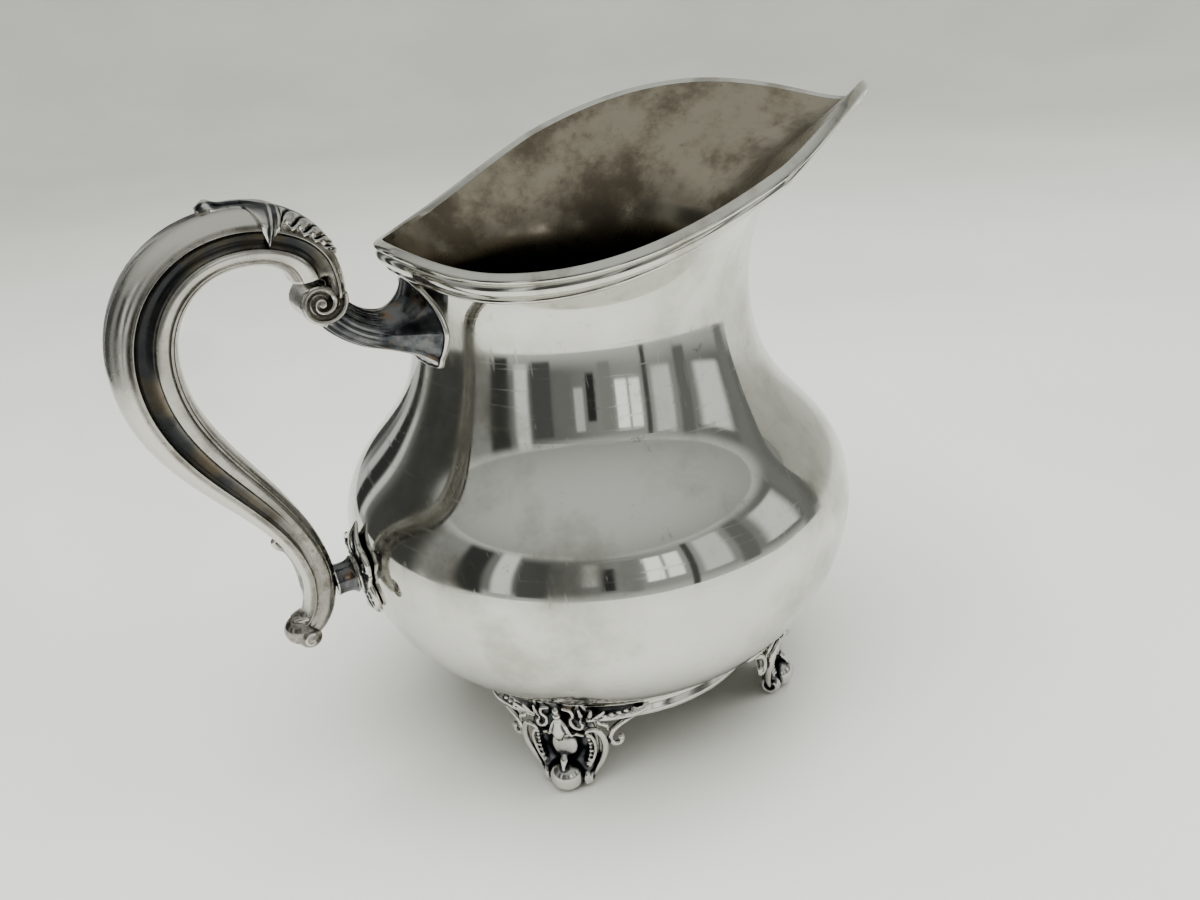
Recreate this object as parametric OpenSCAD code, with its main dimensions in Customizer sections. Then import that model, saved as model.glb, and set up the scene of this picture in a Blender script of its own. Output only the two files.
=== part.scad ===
// Silver-plated water pitcher on four cast feet.
// Millimetres, +Z up, Z = 0 is the table under the feet.
// +X points from the body's axis to the spout, the handle is on -X.

/* [Body] */
// Largest radius of the belly
belly_r = 82.5; // [74:0.5:92]
// Height of the widest part of the belly above the table
belly_z = 77; // [72:1:82]
// Radius at which the belly's lower curve would turn flat
belly_core_r = 40; // [34:1:46]
// How far under the bowl's bottom the belly's lower curve would close
belly_under = 2; // [1:0.25:5]
// Height of the bowl's flat bottom above the table
base_z = 29; // [26:0.5:31]
// Radius of the neck at its narrowest
neck_r = 51.5; // [46:0.5:56]
// Height of the narrowest part of the neck
neck_z = 146; // [140:1:150]
// How far the belly's roundness carries upwards
belly_pull = 28.4; // [22:0.1:34]
// How far the neck's straightness carries downwards
neck_pull = 43.8; // [34:0.1:48]
// Height of the seam between the bowl and the neck
seam_z = 118; // [108:1:124]
// Thickness of the sheet metal
wall = 1.3; // [1:0.1:2.4]

/* [Rim and spout] */
// Reach of the rim over the handle
rim_back = 57; // [54:0.5:60]
// Half the width of the rim
rim_side = 70.5; // [60:0.5:76]
// Reach of the spout's tip
rim_front = 107.5; // [96:0.5:120]
// Place along X where the rim is widest
rim_wide_x = 21; // [10:1:30]
// Pointedness of the spout's outline, 2 is an ellipse
spout_power = 1.4; // [1.3:0.05:2]
// Rise of the rim's lowest part above the narrowest neck
rim_low = 17; // [14:0.5:24]
// Rise of the rim's highest part above the narrowest neck
rim_high = 49; // [42:0.5:58]
// Distance of the rim's lowest part from its end over the handle
rim_dip = 13; // [9:0.5:20]
// Distance of the rim's highest part from the spout's tip
rim_peak = 33.5; // [26:0.5:44]
// Fall of the spout's tip below the rim's highest part
tip_droop = 8.5; // [4:0.5:12]
// Rise of the rim over the handle above its lowest part
back_lift = 3.5; // [0:0.5:5]
// Slope of the wall at the spout's tip, in degrees from level
flare_front = 32; // [22:1:45]
// Slope of the wall at the rim over the handle
flare_back = 70; // [55:1:80]
// Height of the rim's reeded moulding, measured along the wall
band_h = 8.4; // [6:0.2:10]
// Thickness of the moulding at its fullest reed
band_t = 2.6; // [1.8:0.1:3.4]

/* [Handle] */
// In-plane thickness of the handle where it is widest
grip_t = 16.5; // [13:0.5:19]
// Width of the handle at its top
grip_w = 19; // [15:0.5:22]
// Thickness of the casting's wall
cast_wall = 1.8; // [1.4:0.1:2.4]
// Outer radius of the scroll at the handle's upper end
scroll_r = 6.5; // [5.8:0.1:7]
// Distance of the scroll's centre from the neck
scroll_reach = 27; // [23:0.5:30]
// Height of the scroll's centre above the narrowest neck
scroll_rise = 11; // [7:0.5:14]
// Rise of the handle's crown above the scroll's centre
crown_rise = 20; // [16:0.5:26]
// Distance the handle's middle line stands out beyond the belly
grip_reach = 41.5; // [36:0.5:48]
// Distance from the belly to the middle line beside the spigot
grip_gap = 12.8; // [11:0.1:15]
// Radius of the knob at the handle's tail
tail_r = 5.2; // [4.4:0.1:6]
// Half the width of the upper bracket's flange on the neck
flange_half_w = 16; // [12:0.5:18]
// Half the height of that flange
flange_half_h = 13; // [10:0.5:13.5]
// Radius of the lower spigot
spigot_r = 5; // [4:0.1:6]
// Height of the spigot above the table
spigot_z = 74; // [68:0.5:79]
// Thickness of the plate behind the spigot
plate_t = 2.6; // [2:0.1:4]

/* [Feet] */
// Distance of the toes' middles beyond the foot ring
toe_reach = 6.4; // [3:0.1:9]
// Radius of the roll at the toe
toe_r = 4.8; // [4:0.1:5.4]
// Width of the toe, across the foot
toe_w = 15; // [12:0.5:18]
// Width of a foot's waist
leg_w = 20; // [16:0.5:24]
// Spread of a foot's two wings
wing_span = 48; // [40:1:54]
// How far the foot ring stands out beyond the bowl's bottom
ring_lip = 0.6; // [0.2:0.1:2]
// Height of the foot ring's lower edge above the table
ring_z = 20; // [17:0.5:23]

/* [Fit] */
// Gap that the solder fills between two joined pieces
solder = 0.05; // [0.03:0.01:0.15]

/* [Hidden] */

silver = "#b9b9b3";
cast_silver = "#9a9a96";

$fn = 96;

// Steps along the body's curves, around the neck and up its wall
belly_steps = 14;
around = 72;
low_rings = 9;
high_rings = 14;

// ---- shared curves -------------------------------------------------------

function mix(a, b, t) = a + (b - a) * t;
function clamp01(t) = max(0, min(1, t));
function ease(t) = t * t * (3 - 2 * t);

// A cubic curve through p[0] and p[3], and its direction of travel
function bez(p, t) =
    pow(1 - t, 3) * p[0] + 3 * pow(1 - t, 2) * t * p[1]
    + 3 * (1 - t) * t * t * p[2] + pow(t, 3) * p[3];
function bez_dir(p, t) =
    pow(1 - t, 2) * (p[1] - p[0]) + 2 * (1 - t) * t * (p[2] - p[1])
    + t * t * (p[3] - p[2]);
// The unit normal on the right of that direction, which is the outside of a wall
function bez_side(p, t) =
    let (d = bez_dir(p, t)) [d[1], -d[0]] / norm(d);

// ---- body outline as [radius, height] -----------------------------------

// Lower belly: part of an ellipse, by the angle below the widest part
belly_drop = belly_z - base_z + belly_under;
base_angle = asin((belly_z - base_z) / belly_drop);
function low_belly(a, t = 0) =
    let (
        n = [belly_drop * cos(a), -(belly_r - belly_core_r) * sin(a)],
        p = [belly_core_r + (belly_r - belly_core_r) * cos(a), belly_z - belly_drop * sin(a)]
    ) p + t * n / norm(n);
base_r = low_belly(base_angle)[0];

// Upper belly: a curve from the widest part to the narrow neck
shoulder = [
    [belly_r, belly_z], [belly_r, belly_z + belly_pull],
    [neck_r, neck_z - neck_pull], [neck_r, neck_z],
];
function high_belly(s, t = 0) = bez(shoulder, s) + t * bez_side(shoulder, s);

// Place on that curve where it reaches a height, by halving
function at_height(z, a = 0, b = 1, n = 24) =
    let (m = (a + b) / 2)
    n == 0 ? m : bez(shoulder, m)[1] < z ? at_height(z, m, b, n - 1) : at_height(z, a, m, n - 1);
seam_s = at_height(seam_z);

// The bowl's side from the bottom to the seam, moved outwards by t
function bowl_side(t) = concat(
    [for (i = [0 : belly_steps]) low_belly(base_angle * (1 - i / belly_steps), t)],
    [for (i = [1 : belly_steps]) high_belly(seam_s * i / belly_steps, t)]
);

// Everything inside the bowl's side moved outwards by t, as one solid
module bowl_block(t) {
    side = bowl_side(t);
    top = side[len(side) - 1];
    rotate_extrude()
        polygon(concat([[0, top[1]]], [[0, base_z - t], [side[0][0], base_z - t]], side));
}

// ---- rim outline -----------------------------------------------------------

// Seen from above: half an ellipse over the handle, and a half outline that
// narrows to the spout. Both share the widest place, t is 0 at the spout's tip.
function rim_plan(t) =
    let (
        ahead = cos(t) > 0,
        power = ahead ? 2 / spout_power : 1,
        along = pow(abs(cos(t)), power),
        across = pow(abs(sin(t)), power)
    ) [
        rim_wide_x + (ahead ? (rim_front - rim_wide_x) * along : -(rim_back + rim_wide_x) * along),
        sign(sin(t)) * rim_side * across,
    ];

rim_dip_x = rim_dip - rim_back;
rim_high_x = rim_front - rim_peak;
function rim_z(x) =
    let (
        rise = ease(clamp01((x - rim_dip_x) / (rim_high_x - rim_dip_x))),
        past = clamp01((x - rim_high_x) / (rim_front - rim_high_x)),
        behind = clamp01((rim_dip_x - x) / (rim_back + rim_dip_x))
    )
    neck_z + mix(rim_low, rim_high, rise) - tip_droop * past * past + back_lift * behind * behind;

// The neck's wall from its narrowest ring to the rim, as [radius, height]
neck_reach = 0.40;
lip_reach = 0.36;
function flare(t) =
    let (
        rho = norm(rim_plan(t)),
        z = rim_z(rim_plan(t)[0]),
        slope = mix(flare_back, flare_front, (1 + cos(t)) / 2),
        l = norm([rho - neck_r, z - neck_z])
    ) [
        [neck_r, neck_z], [neck_r, neck_z + neck_reach * l],
        [rho, z] - lip_reach * l * [cos(slope), sin(slope)], [rho, z],
    ];

// Its direction around the body's axis
function heading(t) = atan2(rim_plan(t)[1], rim_plan(t)[0]);
function spin(p, a) = [p[0] * cos(a), p[0] * sin(a), p[1]];

// ---- meshes from rings ---------------------------------------------------------

// Closed tube: rings of m points, n of them, with flat ends
function tube_faces(n, m) = concat(
    [[for (j = [m - 1 : -1 : 0]) j]],
    [for (i = [0 : n - 2], j = [0 : m - 1])
        [i * m + j, i * m + (j + 1) % m, (i + 1) * m + (j + 1) % m, (i + 1) * m + j]],
    [[for (j = [0 : m - 1]) (n - 1) * m + j]]
);
// The same, with the last ring joined to the first
function loop_faces(n, m) = [
    for (i = [0 : n - 1], j = [0 : m - 1])
        [i * m + j, i * m + (j + 1) % m, ((i + 1) % n) * m + (j + 1) % m, ((i + 1) % n) * m + j]
];

module ring_tube(rings) {
    polyhedron([for (r = rings) for (p = r) p], tube_faces(len(rings), len(rings[0])));
}

module ring_loop(rings) {
    polyhedron([for (r = rings) for (p = r) p], loop_faces(len(rings), len(rings[0])));
}

// ---- body pieces ------------------------------------------------------------------

module bowl() {
    outside = bowl_side(0);
    inside = [for (p = bowl_side(-wall)) if (p[1] > base_z + wall) p];
    floor_r = inside[0][0];
    top_in = high_belly(seam_s, -wall);
    color(silver)
        rotate_extrude()
            polygon(concat(
                [[0, base_z]], outside, [top_in],
                [for (i = [len(inside) - 2 : -1 : 0]) inside[i]],
                [[floor_r, base_z + wall], [0, base_z + wall]]
            ));
}

module neck_spout() {
    // One closed section per angle: up the outside, over the lip, down the inside
    low = [for (i = [0 : low_rings - 1]) mix(seam_s, 1, i / low_rings)];
    high = [for (i = [0 : high_rings]) i / high_rings];
    lift = [0, solder];
    color(silver)
        ring_loop([for (k = [0 : around - 1])
            let (t = 360 * k / around, a = heading(t), up = flare(t))
            concat(
                [for (s = low) spin(high_belly(s) + lift, a)],
                [for (s = high) spin(bez(up, s), a)],
                [for (i = [high_rings : -1 : 0]) spin(bez(up, high[i]) - wall * bez_side(up, high[i]), a)],
                [for (i = [low_rings - 1 : -1 : 0]) spin(high_belly(low[i], -wall) + lift, a)]
            )]);
}

module rim_moulding() {
    // Reeds as [distance down the wall, thickness], in shares of the band
    reeds = [
        [0, 0.55], [0.05, 0.85], [0.16, 0.95], [0.27, 0.80], [0.33, 0.50], [0.42, 0.90],
        [0.54, 1.00], [0.66, 0.90], [0.76, 0.40], [0.84, 0.62], [0.92, 0.62], [1, 0.30],
    ];
    tip_share = 0.62;
    color(silver)
        ring_loop([for (k = [0 : around - 1])
            let (
                t = 360 * k / around,
                a = heading(t),
                up = flare(t),
                share = mix(1, tip_share, pow((1 + cos(t)) / 2, 6)),
                step = band_h * share / (3 * norm(up[3] - up[2]))
            )
            concat(
                [for (i = [len(reeds) - 1 : -1 : 0])
                    let (s = 1 - reeds[i][0] * step)
                    spin(bez(up, s) + band_t * share * reeds[i][1] * bez_side(up, s), a)],
                [for (i = [0 : 2 : len(reeds) - 1])
                    let (s = 1 - reeds[i][0] * step)
                    spin(bez(up, s) + solder * bez_side(up, s), a)],
                [let (s = 1 - step) spin(bez(up, s) + solder * bez_side(up, s), a)]
            )]);
}

// The foot ring's outside hangs from the bowl's bottom edge
ring_r = base_r + ring_lip;

module foot_ring() {
    ring_t = 3.2;
    waist = 1.2;
    top = base_z - solder;
    ring_h = top - ring_z;
    color(silver)
        rotate_extrude()
            polygon([
                [ring_r - ring_t, ring_z], [ring_r, ring_z], [ring_r, ring_z + 0.18 * ring_h],
                [ring_r - waist, ring_z + 0.34 * ring_h], [ring_r - waist, top - 0.28 * ring_h],
                [base_r - solder, top], [ring_r - ring_t, top],
            ]);
}

// ---- handle ----------------------------------------------------------------------

// The scroll at the handle's upper end winds inwards around its own centre
scroll_at = [-neck_r - scroll_reach, neck_z + scroll_rise];
scroll_turn = 300;
scroll_band = 3.2;
function scroll_edge(a) = scroll_r * (1 + 0.28 * a / scroll_turn);
function scroll_thick(a) = scroll_band * (1 + 0.35 * a / scroll_turn);

// The handle's middle line in the XZ plane: it springs from the scroll, goes over
// the crown and down its back, stands beside the spigot and turns out to the tail
grip_start = scroll_at + [scroll_r - scroll_band / 2, 0];
crown = scroll_at + [-17.5, crown_rise];
grip_back = [-belly_r - grip_reach, scroll_at[1] - 10];
grip_foot = [-belly_r - grip_gap, spigot_z + 6];
tail_at = grip_foot + [-6.7, -17.5];
grip_line = [
    [grip_start, grip_start + [0, 13], crown + [13, 0], crown],
    [crown, crown + [-16, 0], grip_back + [0, 17], grip_back],
    [grip_back, grip_back + [0, -27], grip_foot + [-2.7, 26], grip_foot],
    [grip_foot, grip_foot + [0.3, -8], grip_foot + [-1.7, -16], tail_at],
];
// Thickness and width at the ends of those four stretches
grip_sizes = [
    [scroll_band, grip_w * 0.76], [grip_t * 0.88, grip_w], [grip_t, grip_w * 0.9],
    [grip_t * 0.58, grip_w * 0.58], [tail_r * 1.9, tail_r * 1.9],
];
scroll_steps = 14;
grip_steps = 12;
tail_steps = 5;

// Half section as [outwards, sideways] in shares of thickness and width
half_out = [
    [0.50, 0], [0.47, 0.20], [0.38, 0.36], [0.22, 0.46], [0.17, 0.50],
    [0.10, 0.40], [-0.02, 0.39], [-0.08, 0.46], [-0.24, 0.50], [-0.37, 0.46], [-0.46, 0.28], [-0.50, 0],
];
// The hollow inside it, before the casting's wall is taken off
half_in = [[-0.5, 0], [-0.42, 0.26], [-0.2, 0.38], [0.1, 0.26], [0.4, 0.24], [0.5, 0]];

// A place on the handle, as [point, outward direction, [thickness, width]]:
// stretch q and share s of it, where stretch -1 is the scroll
function grip_frame(q, s) = q < 0 ? scroll_frame(-scroll_turn * (1 - s)) :
    let (
        d = bez_dir(grip_line[q], s),
        grow = q == 0 ? ease(clamp01((s - 0.12) / 0.45)) : ease(s)
    ) [bez(grip_line[q], s), [d[1], -d[0]] / norm(d), mix(grip_sizes[q], grip_sizes[q + 1], grow)];
function scroll_frame(a) =
    let (out = [cos(a), sin(a)])
    [
        scroll_at + (scroll_edge(a) - scroll_thick(a) / 2) * out, out,
        [scroll_thick(a), grip_sizes[0][1]],
    ];
function grip_point(f, u, side, lift = 0) =
    let (q = f[0] + f[1] * (u[0] * f[2][0] + lift))
    [q[0], side * u[1] * f[2][1], q[1]];

// The casting is hollow: the same section, drawn in by the wall
function hollow(f) =
    let (w = min(cast_wall, 0.3 * f[2][0]))
    [for (u = half_in)
        [sign(u[0]) * max(0.02, abs(u[0]) - w / f[2][0]), u[1] * (1 - 1.6 * cast_wall / f[2][1])]];

grip_stations = concat(
    [for (i = [0 : scroll_steps - 1]) [-1, i / scroll_steps]],
    [for (q = [0 : 2]) for (i = [0 : grip_steps - 1]) [q, i / grip_steps]],
    [for (i = [0 : tail_steps]) [3, i / tail_steps]]
);

// One cast half, on the side given by +1 or -1
module handle_half(side) {
    seam = [0, side * solder / 2, 0];
    rings = [for (st = grip_stations)
        let (
            f = grip_frame(st[0], st[1]),
            ring = concat(
                [for (u = half_out) grip_point(f, u, side) + seam],
                [for (u = hollow(f)) grip_point(f, u, side) + seam]
            ),
            last = len(ring) - 1
        )
        side < 0 ? ring : [for (i = [last : -1 : 0]) ring[i]]];
    color(cast_silver) ring_tube(rings);
}

module handle_half_left() {
    handle_half(1);
}

module handle_half_right() {
    handle_half(-1);
}

module thumb_leaf() {
    // The leaf lies on the back of the handle and follows its section
    leaf_t = 1.2;
    bed = 3 * solder;
    leaf_rings = 14;
    leaf_split = 0.7;
    color(cast_silver)
        ring_tube([for (i = [0 : leaf_rings])
            let (
                t = i / leaf_rings,
                q = t < leaf_split ? 0 : 1,
                s = q == 0 ? mix(0.30, 1, t / leaf_split) : mix(0, 0.24, (t - leaf_split) / (1 - leaf_split)),
                f = grip_frame(q, s),
                full = sqrt(sin(180 * mix(0.06, 0.97, t))),
                across = [for (k = [-3 : 3]) full * k / 3]
            )
            concat(
                [for (v = across) grip_point(f, back_of(v), -1, bed + leaf_t * (1 - 0.75 * v * v))],
                [for (k = [6 : -1 : 0]) grip_point(f, back_of(across[k]), -1, bed)]
            )]);
}
// A point across the handle's back, v from -1 to 1 between its two edges
function back_of(v) =
    let (w = abs(v) * 0.36)
    [w < 0.20 ? mix(0.50, 0.47, w / 0.20) : mix(0.47, 0.38, (w - 0.20) / 0.16), v * 0.36];

module upper_bracket() {
    // From a saddle on the scroll's underside to an oval flange on the neck
    leave_angle = -50;
    neck_half_w = 5.5;
    neck_half_h = 4.5;
    flange_z = neck_z - 2.5;
    leave = [cos(leave_angle), sin(leave_angle)];
    start = scroll_at + (scroll_edge(leave_angle) + solder) * leave;
    line = [start, start + 6 * leave, [-neck_r - 10.5, flange_z - 1], [-neck_r - 3, flange_z]];
    rings = 12;
    sides = 24;
    end_shares = [1, 0.75, 0.5, 0.25, 0.05];
    color(cast_silver)
        ring_tube(concat(
            [for (i = [len(end_shares) - 1 : -1 : 0])
                [for (k = [0 : sides - 1])
                    let (a = -360 * k / sides)
                    scroll_saddle(leave_angle, end_shares[i] * neck_half_w * cos(a),
                        end_shares[i] * neck_half_h * sin(a))]],
            [for (i = [1 : rings - 1])
                let (
                    t = i / rings,
                    p = bez(line, t),
                    d = bez_dir(line, t),
                    up = [-d[1], d[0]] / norm(d),
                    wide = mix(neck_half_w, flange_half_w, pow(t, 4)),
                    tall = mix(neck_half_h, flange_half_h, pow(t, 5))
                )
                [for (k = [0 : sides - 1])
                    let (a = -360 * k / sides, c = p + up * tall * sin(a))
                    [c[0], wide * cos(a), c[1]]]],
            [for (share = end_shares)
                [for (k = [0 : sides - 1])
                    let (a = -360 * k / sides)
                    neck_foot(share * flange_half_w * cos(a), flange_z + share * flange_half_h * sin(a))]]
        ));
}
// A point on the scroll's outside, from an angle on it: y sideways and h along its turn
function scroll_saddle(angle, y, h) =
    let (
        a = angle + h / scroll_edge(angle) * 180 / PI,
        drop = (0.50 - back_of(y / (0.36 * grip_sizes[0][1]))[0]) * scroll_thick(a),
        r = scroll_edge(a) - drop + 2 * solder
    ) [scroll_at[0] + r * cos(a), y, scroll_at[1] + r * sin(a)];
// A point of the flange on the neck's outside, at a height and a distance sideways
function neck_foot(y, z) =
    let (
        up = flare(rim_share(180 - asin(y / neck_r))),
        r = z < neck_z ? bez(shoulder, at_height(z))[0] : bez(up, at_rise(up, z))[0]
    ) [-sqrt(pow(r + 2 * solder, 2) - y * y), y, z];
// Place on a neck wall where it reaches a height, by halving
function at_rise(up, z, a = 0, b = 1, n = 20) =
    let (m = (a + b) / 2)
    n == 0 ? m : bez(up, m)[1] < z ? at_rise(up, z, m, b, n - 1) : at_rise(up, z, a, m, n - 1);
// The rim's own parameter for a heading over the handle, by halving
function rim_share(a, low = 90, high = 270, n = 20) =
    let (m = (low + high) / 2, h = (heading(m) + 360) % 360)
    n == 0 ? m : h < a ? rim_share(a, m, high, n - 1) : rim_share(a, low, m, n - 1);

// The plate's face on the belly, and the nearest place of the handle's inner face
plate_face = belly_r + plate_t + solder;
spigot_reach = 0.65;
grip_inner_x = max([for (s = [0 : 0.05 : spigot_reach])
    let (f = grip_frame(3, s)) f[0][0] - f[1][0] * f[2][0] / 2]);

module lower_spigot() {
    color(cast_silver)
        translate([-plate_face - solder, 0, spigot_z])
            rotate([0, -90, 0])
                cylinder(h = -grip_inner_x - plate_face - 2 * solder, r = spigot_r);
}

module lower_escutcheon() {
    // Half of the cartouche's outline, as [height, sideways] from its middle:
    // a leaf point above, two rolled scrolls on the side, a tongue below
    half = [
        [16, 0], [13.4, 1.6], [11, 3.6], [9.4, 6.4], [8.2, 9.4], [5.8, 10.8], [3, 10.3],
        [1.2, 9.2], [-1.2, 9.2], [-3.2, 10.3], [-6, 10.8], [-8.6, 9.4], [-9.6, 6.8],
        [-10.6, 4.6], [-13, 3], [-15.5, 0],
    ];
    color(cast_silver)
        intersection() {
            rotate([0, 0, 90])
                difference() {
                    bowl_block(plate_t);
                    bowl_block(solder);
                }
            translate([0, 0, spigot_z])
                rotate([0, -90, 0])
                    linear_extrude(belly_r + 2 * plate_t)
                        polygon(concat(half, [for (i = [len(half) - 2 : -1 : 1]) [half[i][0], -half[i][1]]]));
        }
}

// ---- feet --------------------------------------------------------------------------

// One foot, at an angle around the body. X is outwards from the axis.
toe_ring_r = ring_r + toe_reach;
module foot(az) {
    pad_r = 3.2;
    pad_h = 1.5;
    hip_r = toe_ring_r + 5;
    leg_side = [
        [ring_r - 1, ring_z + 1], [ring_r - 1, base_z + 6], [hip_r, base_z + 9],
        [hip_r + 1.5, base_z + 4], [hip_r - 2, ring_z + 2], [toe_ring_r + 3, 12],
        [toe_ring_r + 4, toe_r], [toe_ring_r - 2, toe_r], [toe_ring_r - 2.5, 12],
    ];
    wing = [
        [-wing_span / 2, base_z + 3], [-wing_span / 2 + 4, base_z - 4], [-leg_w / 2 - 3, base_z - 7],
        [-leg_w / 2 + 2, 11], [leg_w / 2 - 2, 11], [leg_w / 2 + 3, base_z - 7],
        [wing_span / 2 - 4, base_z - 4], [wing_span / 2, base_z + 3], [0, base_z + 9],
    ];
    wing_t = 4.5;
    color(cast_silver)
        rotate([0, 0, az])
            difference() {
                union() {
                    translate([0, leg_w * 0.28, 0])
                        rotate([90, 0, 0])
                            linear_extrude(leg_w * 0.56)
                                polygon(leg_side);
                    translate([ring_r - 1, 0, 0])
                        rotate([90, 0, 90])
                            linear_extrude(wing_t)
                                polygon(wing);
                    translate([toe_ring_r, toe_w / 2, toe_r + 0.2])
                        rotate([90, 0, 0])
                            cylinder(h = toe_w, r = toe_r);
                    translate([toe_ring_r, 0, 0])
                        cylinder(h = pad_h, r = pad_r);
                }
                bowl_block(solder);
                cylinder(h = base_z, r = ring_r + solder);
            }
}

module foot_spout_left() {
    foot(45);
}

module foot_spout_right() {
    foot(-45);
}

module foot_handle_left() {
    foot(135);
}

module foot_handle_right() {
    foot(-135);
}

bowl();
neck_spout();
rim_moulding();
foot_ring();
handle_half_left();
handle_half_right();
thumb_leaf();
upper_bracket();
lower_spigot();
lower_escutcheon();
foot_spout_left();
foot_spout_right();
foot_handle_left();
foot_handle_right();
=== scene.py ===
"""Silver-plated water pitcher: round belly, waisted neck, swept spout, scrolled
handle and four cast feet. Metres, +Z up, the spout on +X and the handle on -X."""
import bpy, bmesh, math
import numpy as np
from mathutils import Matrix, Vector


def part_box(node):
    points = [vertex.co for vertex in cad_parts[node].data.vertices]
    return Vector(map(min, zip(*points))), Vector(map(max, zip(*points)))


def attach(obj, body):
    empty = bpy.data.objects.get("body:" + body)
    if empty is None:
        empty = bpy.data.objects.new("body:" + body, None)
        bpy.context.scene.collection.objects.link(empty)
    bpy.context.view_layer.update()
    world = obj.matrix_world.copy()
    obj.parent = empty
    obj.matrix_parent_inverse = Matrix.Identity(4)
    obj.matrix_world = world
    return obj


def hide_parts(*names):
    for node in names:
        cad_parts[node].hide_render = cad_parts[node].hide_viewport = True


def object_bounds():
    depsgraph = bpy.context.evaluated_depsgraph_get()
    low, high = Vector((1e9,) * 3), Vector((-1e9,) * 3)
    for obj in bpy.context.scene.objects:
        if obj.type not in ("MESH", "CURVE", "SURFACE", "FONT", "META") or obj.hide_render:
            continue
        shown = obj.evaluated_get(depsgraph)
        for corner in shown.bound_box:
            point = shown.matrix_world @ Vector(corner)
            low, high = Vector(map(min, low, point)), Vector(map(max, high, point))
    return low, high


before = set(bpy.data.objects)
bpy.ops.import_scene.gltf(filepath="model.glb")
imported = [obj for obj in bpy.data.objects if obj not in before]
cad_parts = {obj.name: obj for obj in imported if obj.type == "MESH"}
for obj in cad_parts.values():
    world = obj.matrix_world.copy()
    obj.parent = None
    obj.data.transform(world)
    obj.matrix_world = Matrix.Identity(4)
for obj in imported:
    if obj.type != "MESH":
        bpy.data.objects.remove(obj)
cad_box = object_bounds()
mm = 0.001


# ---- Bowl ---------------------------------------------------------------------
# The lower body: one sheet of nickel alloy spun to a round belly with a flat
# bottom, silver-plated and polished. Its upper edge is soldered to the neck.

bowl_low, bowl_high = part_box("bowl")
belly_r = round(bowl_high.x / mm, 1)  # widest part: radius and height, mm
belly_z = 77.0
belly_core, belly_drop = 40.0, 50.0  # the lower curve is part of an ellipse
bowl_floor_z = round(bowl_low.z / mm, 1)
seam_z = round(bowl_high.z / mm, 1)
neck_r, neck_z = 51.5, 146.0         # narrowest part of the neck
wall = 1.3                           # sheet thickness
row_step = 0.5                       # spacing of points along a wall line
easing = 4.5                         # reach over which two curves melt together


def cubic(p, t):
    """Points of a cubic curve at the shares t."""
    p, t = np.asarray(p, float), np.asarray(t, float)[:, None]
    return ((1 - t) ** 3 * p[0] + 3 * (1 - t) ** 2 * t * p[1]
            + 3 * (1 - t) * t * t * p[2] + t ** 3 * p[3])


def ease(t):
    """A share from 0 to 1 that starts and ends gently."""
    t = np.clip(t, 0.0, 1.0)
    return t * t * (3 - 2 * t)


def spaced(line, count=None, step=None):
    """The same line with evenly spaced points."""
    line = np.asarray(line, float)
    run = np.concatenate([[0], np.cumsum(np.linalg.norm(np.diff(line, axis=0), axis=1))])
    count = count or max(2, int(round(run[-1] / step)) + 1)
    at = np.linspace(0, run[-1], count)
    return np.stack([np.interp(at, run, line[:, k]) for k in range(line.shape[1])], axis=1)


def melted(line, reach):
    """A line with its changes of curvature spread over reach, its ends kept."""
    line = spaced(line, step=row_step)
    half = int(3 * reach / row_step)
    weight = np.exp(-0.5 * (np.arange(-half, half + 1) * row_step / reach) ** 2)
    weight /= weight.sum()
    before = 2 * line[0] - line[half:0:-1]
    after = 2 * line[-1] - line[-2:-half - 2:-1]
    long = np.concatenate([before, line, after])
    return np.stack([np.convolve(long[:, k], weight, "valid") for k in range(2)], axis=1)


def outward(line):
    """Unit normals on the right of a line's travel: the outside of a wall drawn upwards."""
    way = np.gradient(line, axis=0)
    side = np.stack([way[:, 1], -way[:, 0]], axis=1)
    return side / np.linalg.norm(side, axis=1)[:, None]


def flare_curve(angle):
    """The neck's wall at a share of the rim, as a cubic in radius and height."""
    x, y = rim_plan(angle)
    rho, z = math.hypot(x, y), rim_height(x)
    slope = math.radians(70 + (32 - 70) * (1 + math.cos(angle)) / 2)
    reach = math.hypot(rho - neck_r, z - neck_z)
    return [[neck_r, neck_z], [neck_r, neck_z + 0.40 * reach],
            [rho - 0.36 * reach * math.cos(slope), z - 0.36 * reach * math.sin(slope)], [rho, z]]


rim_back, rim_side, rim_front = 57.0, 70.5, 106.6
rim_wide_x, spout_power = 21.0, 1.4


def rim_plan(angle):
    """The rim seen from above: half an ellipse over the handle, drawn out to the spout."""
    c, s = math.cos(angle), math.sin(angle)
    power = 2 / spout_power if c > 0 else 1.0
    along, across = abs(c) ** power, abs(s) ** power
    if c > 0:
        blunt = 0.50 * math.exp(-(s / 0.34) ** 2)
        across = (1 - blunt) * across + blunt * abs(s)
    x = rim_wide_x + ((rim_front - rim_wide_x) * along if c > 0 else -(rim_back + rim_wide_x) * along)
    return x, math.copysign(rim_side * across, s)


def rim_height(x):
    """The rim is low over the handle, climbs along the sides and droops at the tip."""
    rise = float(ease((x + 44) / (74 + 44)))
    past = min(max((x - 74) / (rim_front - 74), 0), 1)
    behind = min(max((-44 - x) / (rim_back - 44), 0), 1)
    return 163 + (195 - 163) * rise - 8.5 * past ** 2 + 3.5 * behind ** 2


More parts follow.
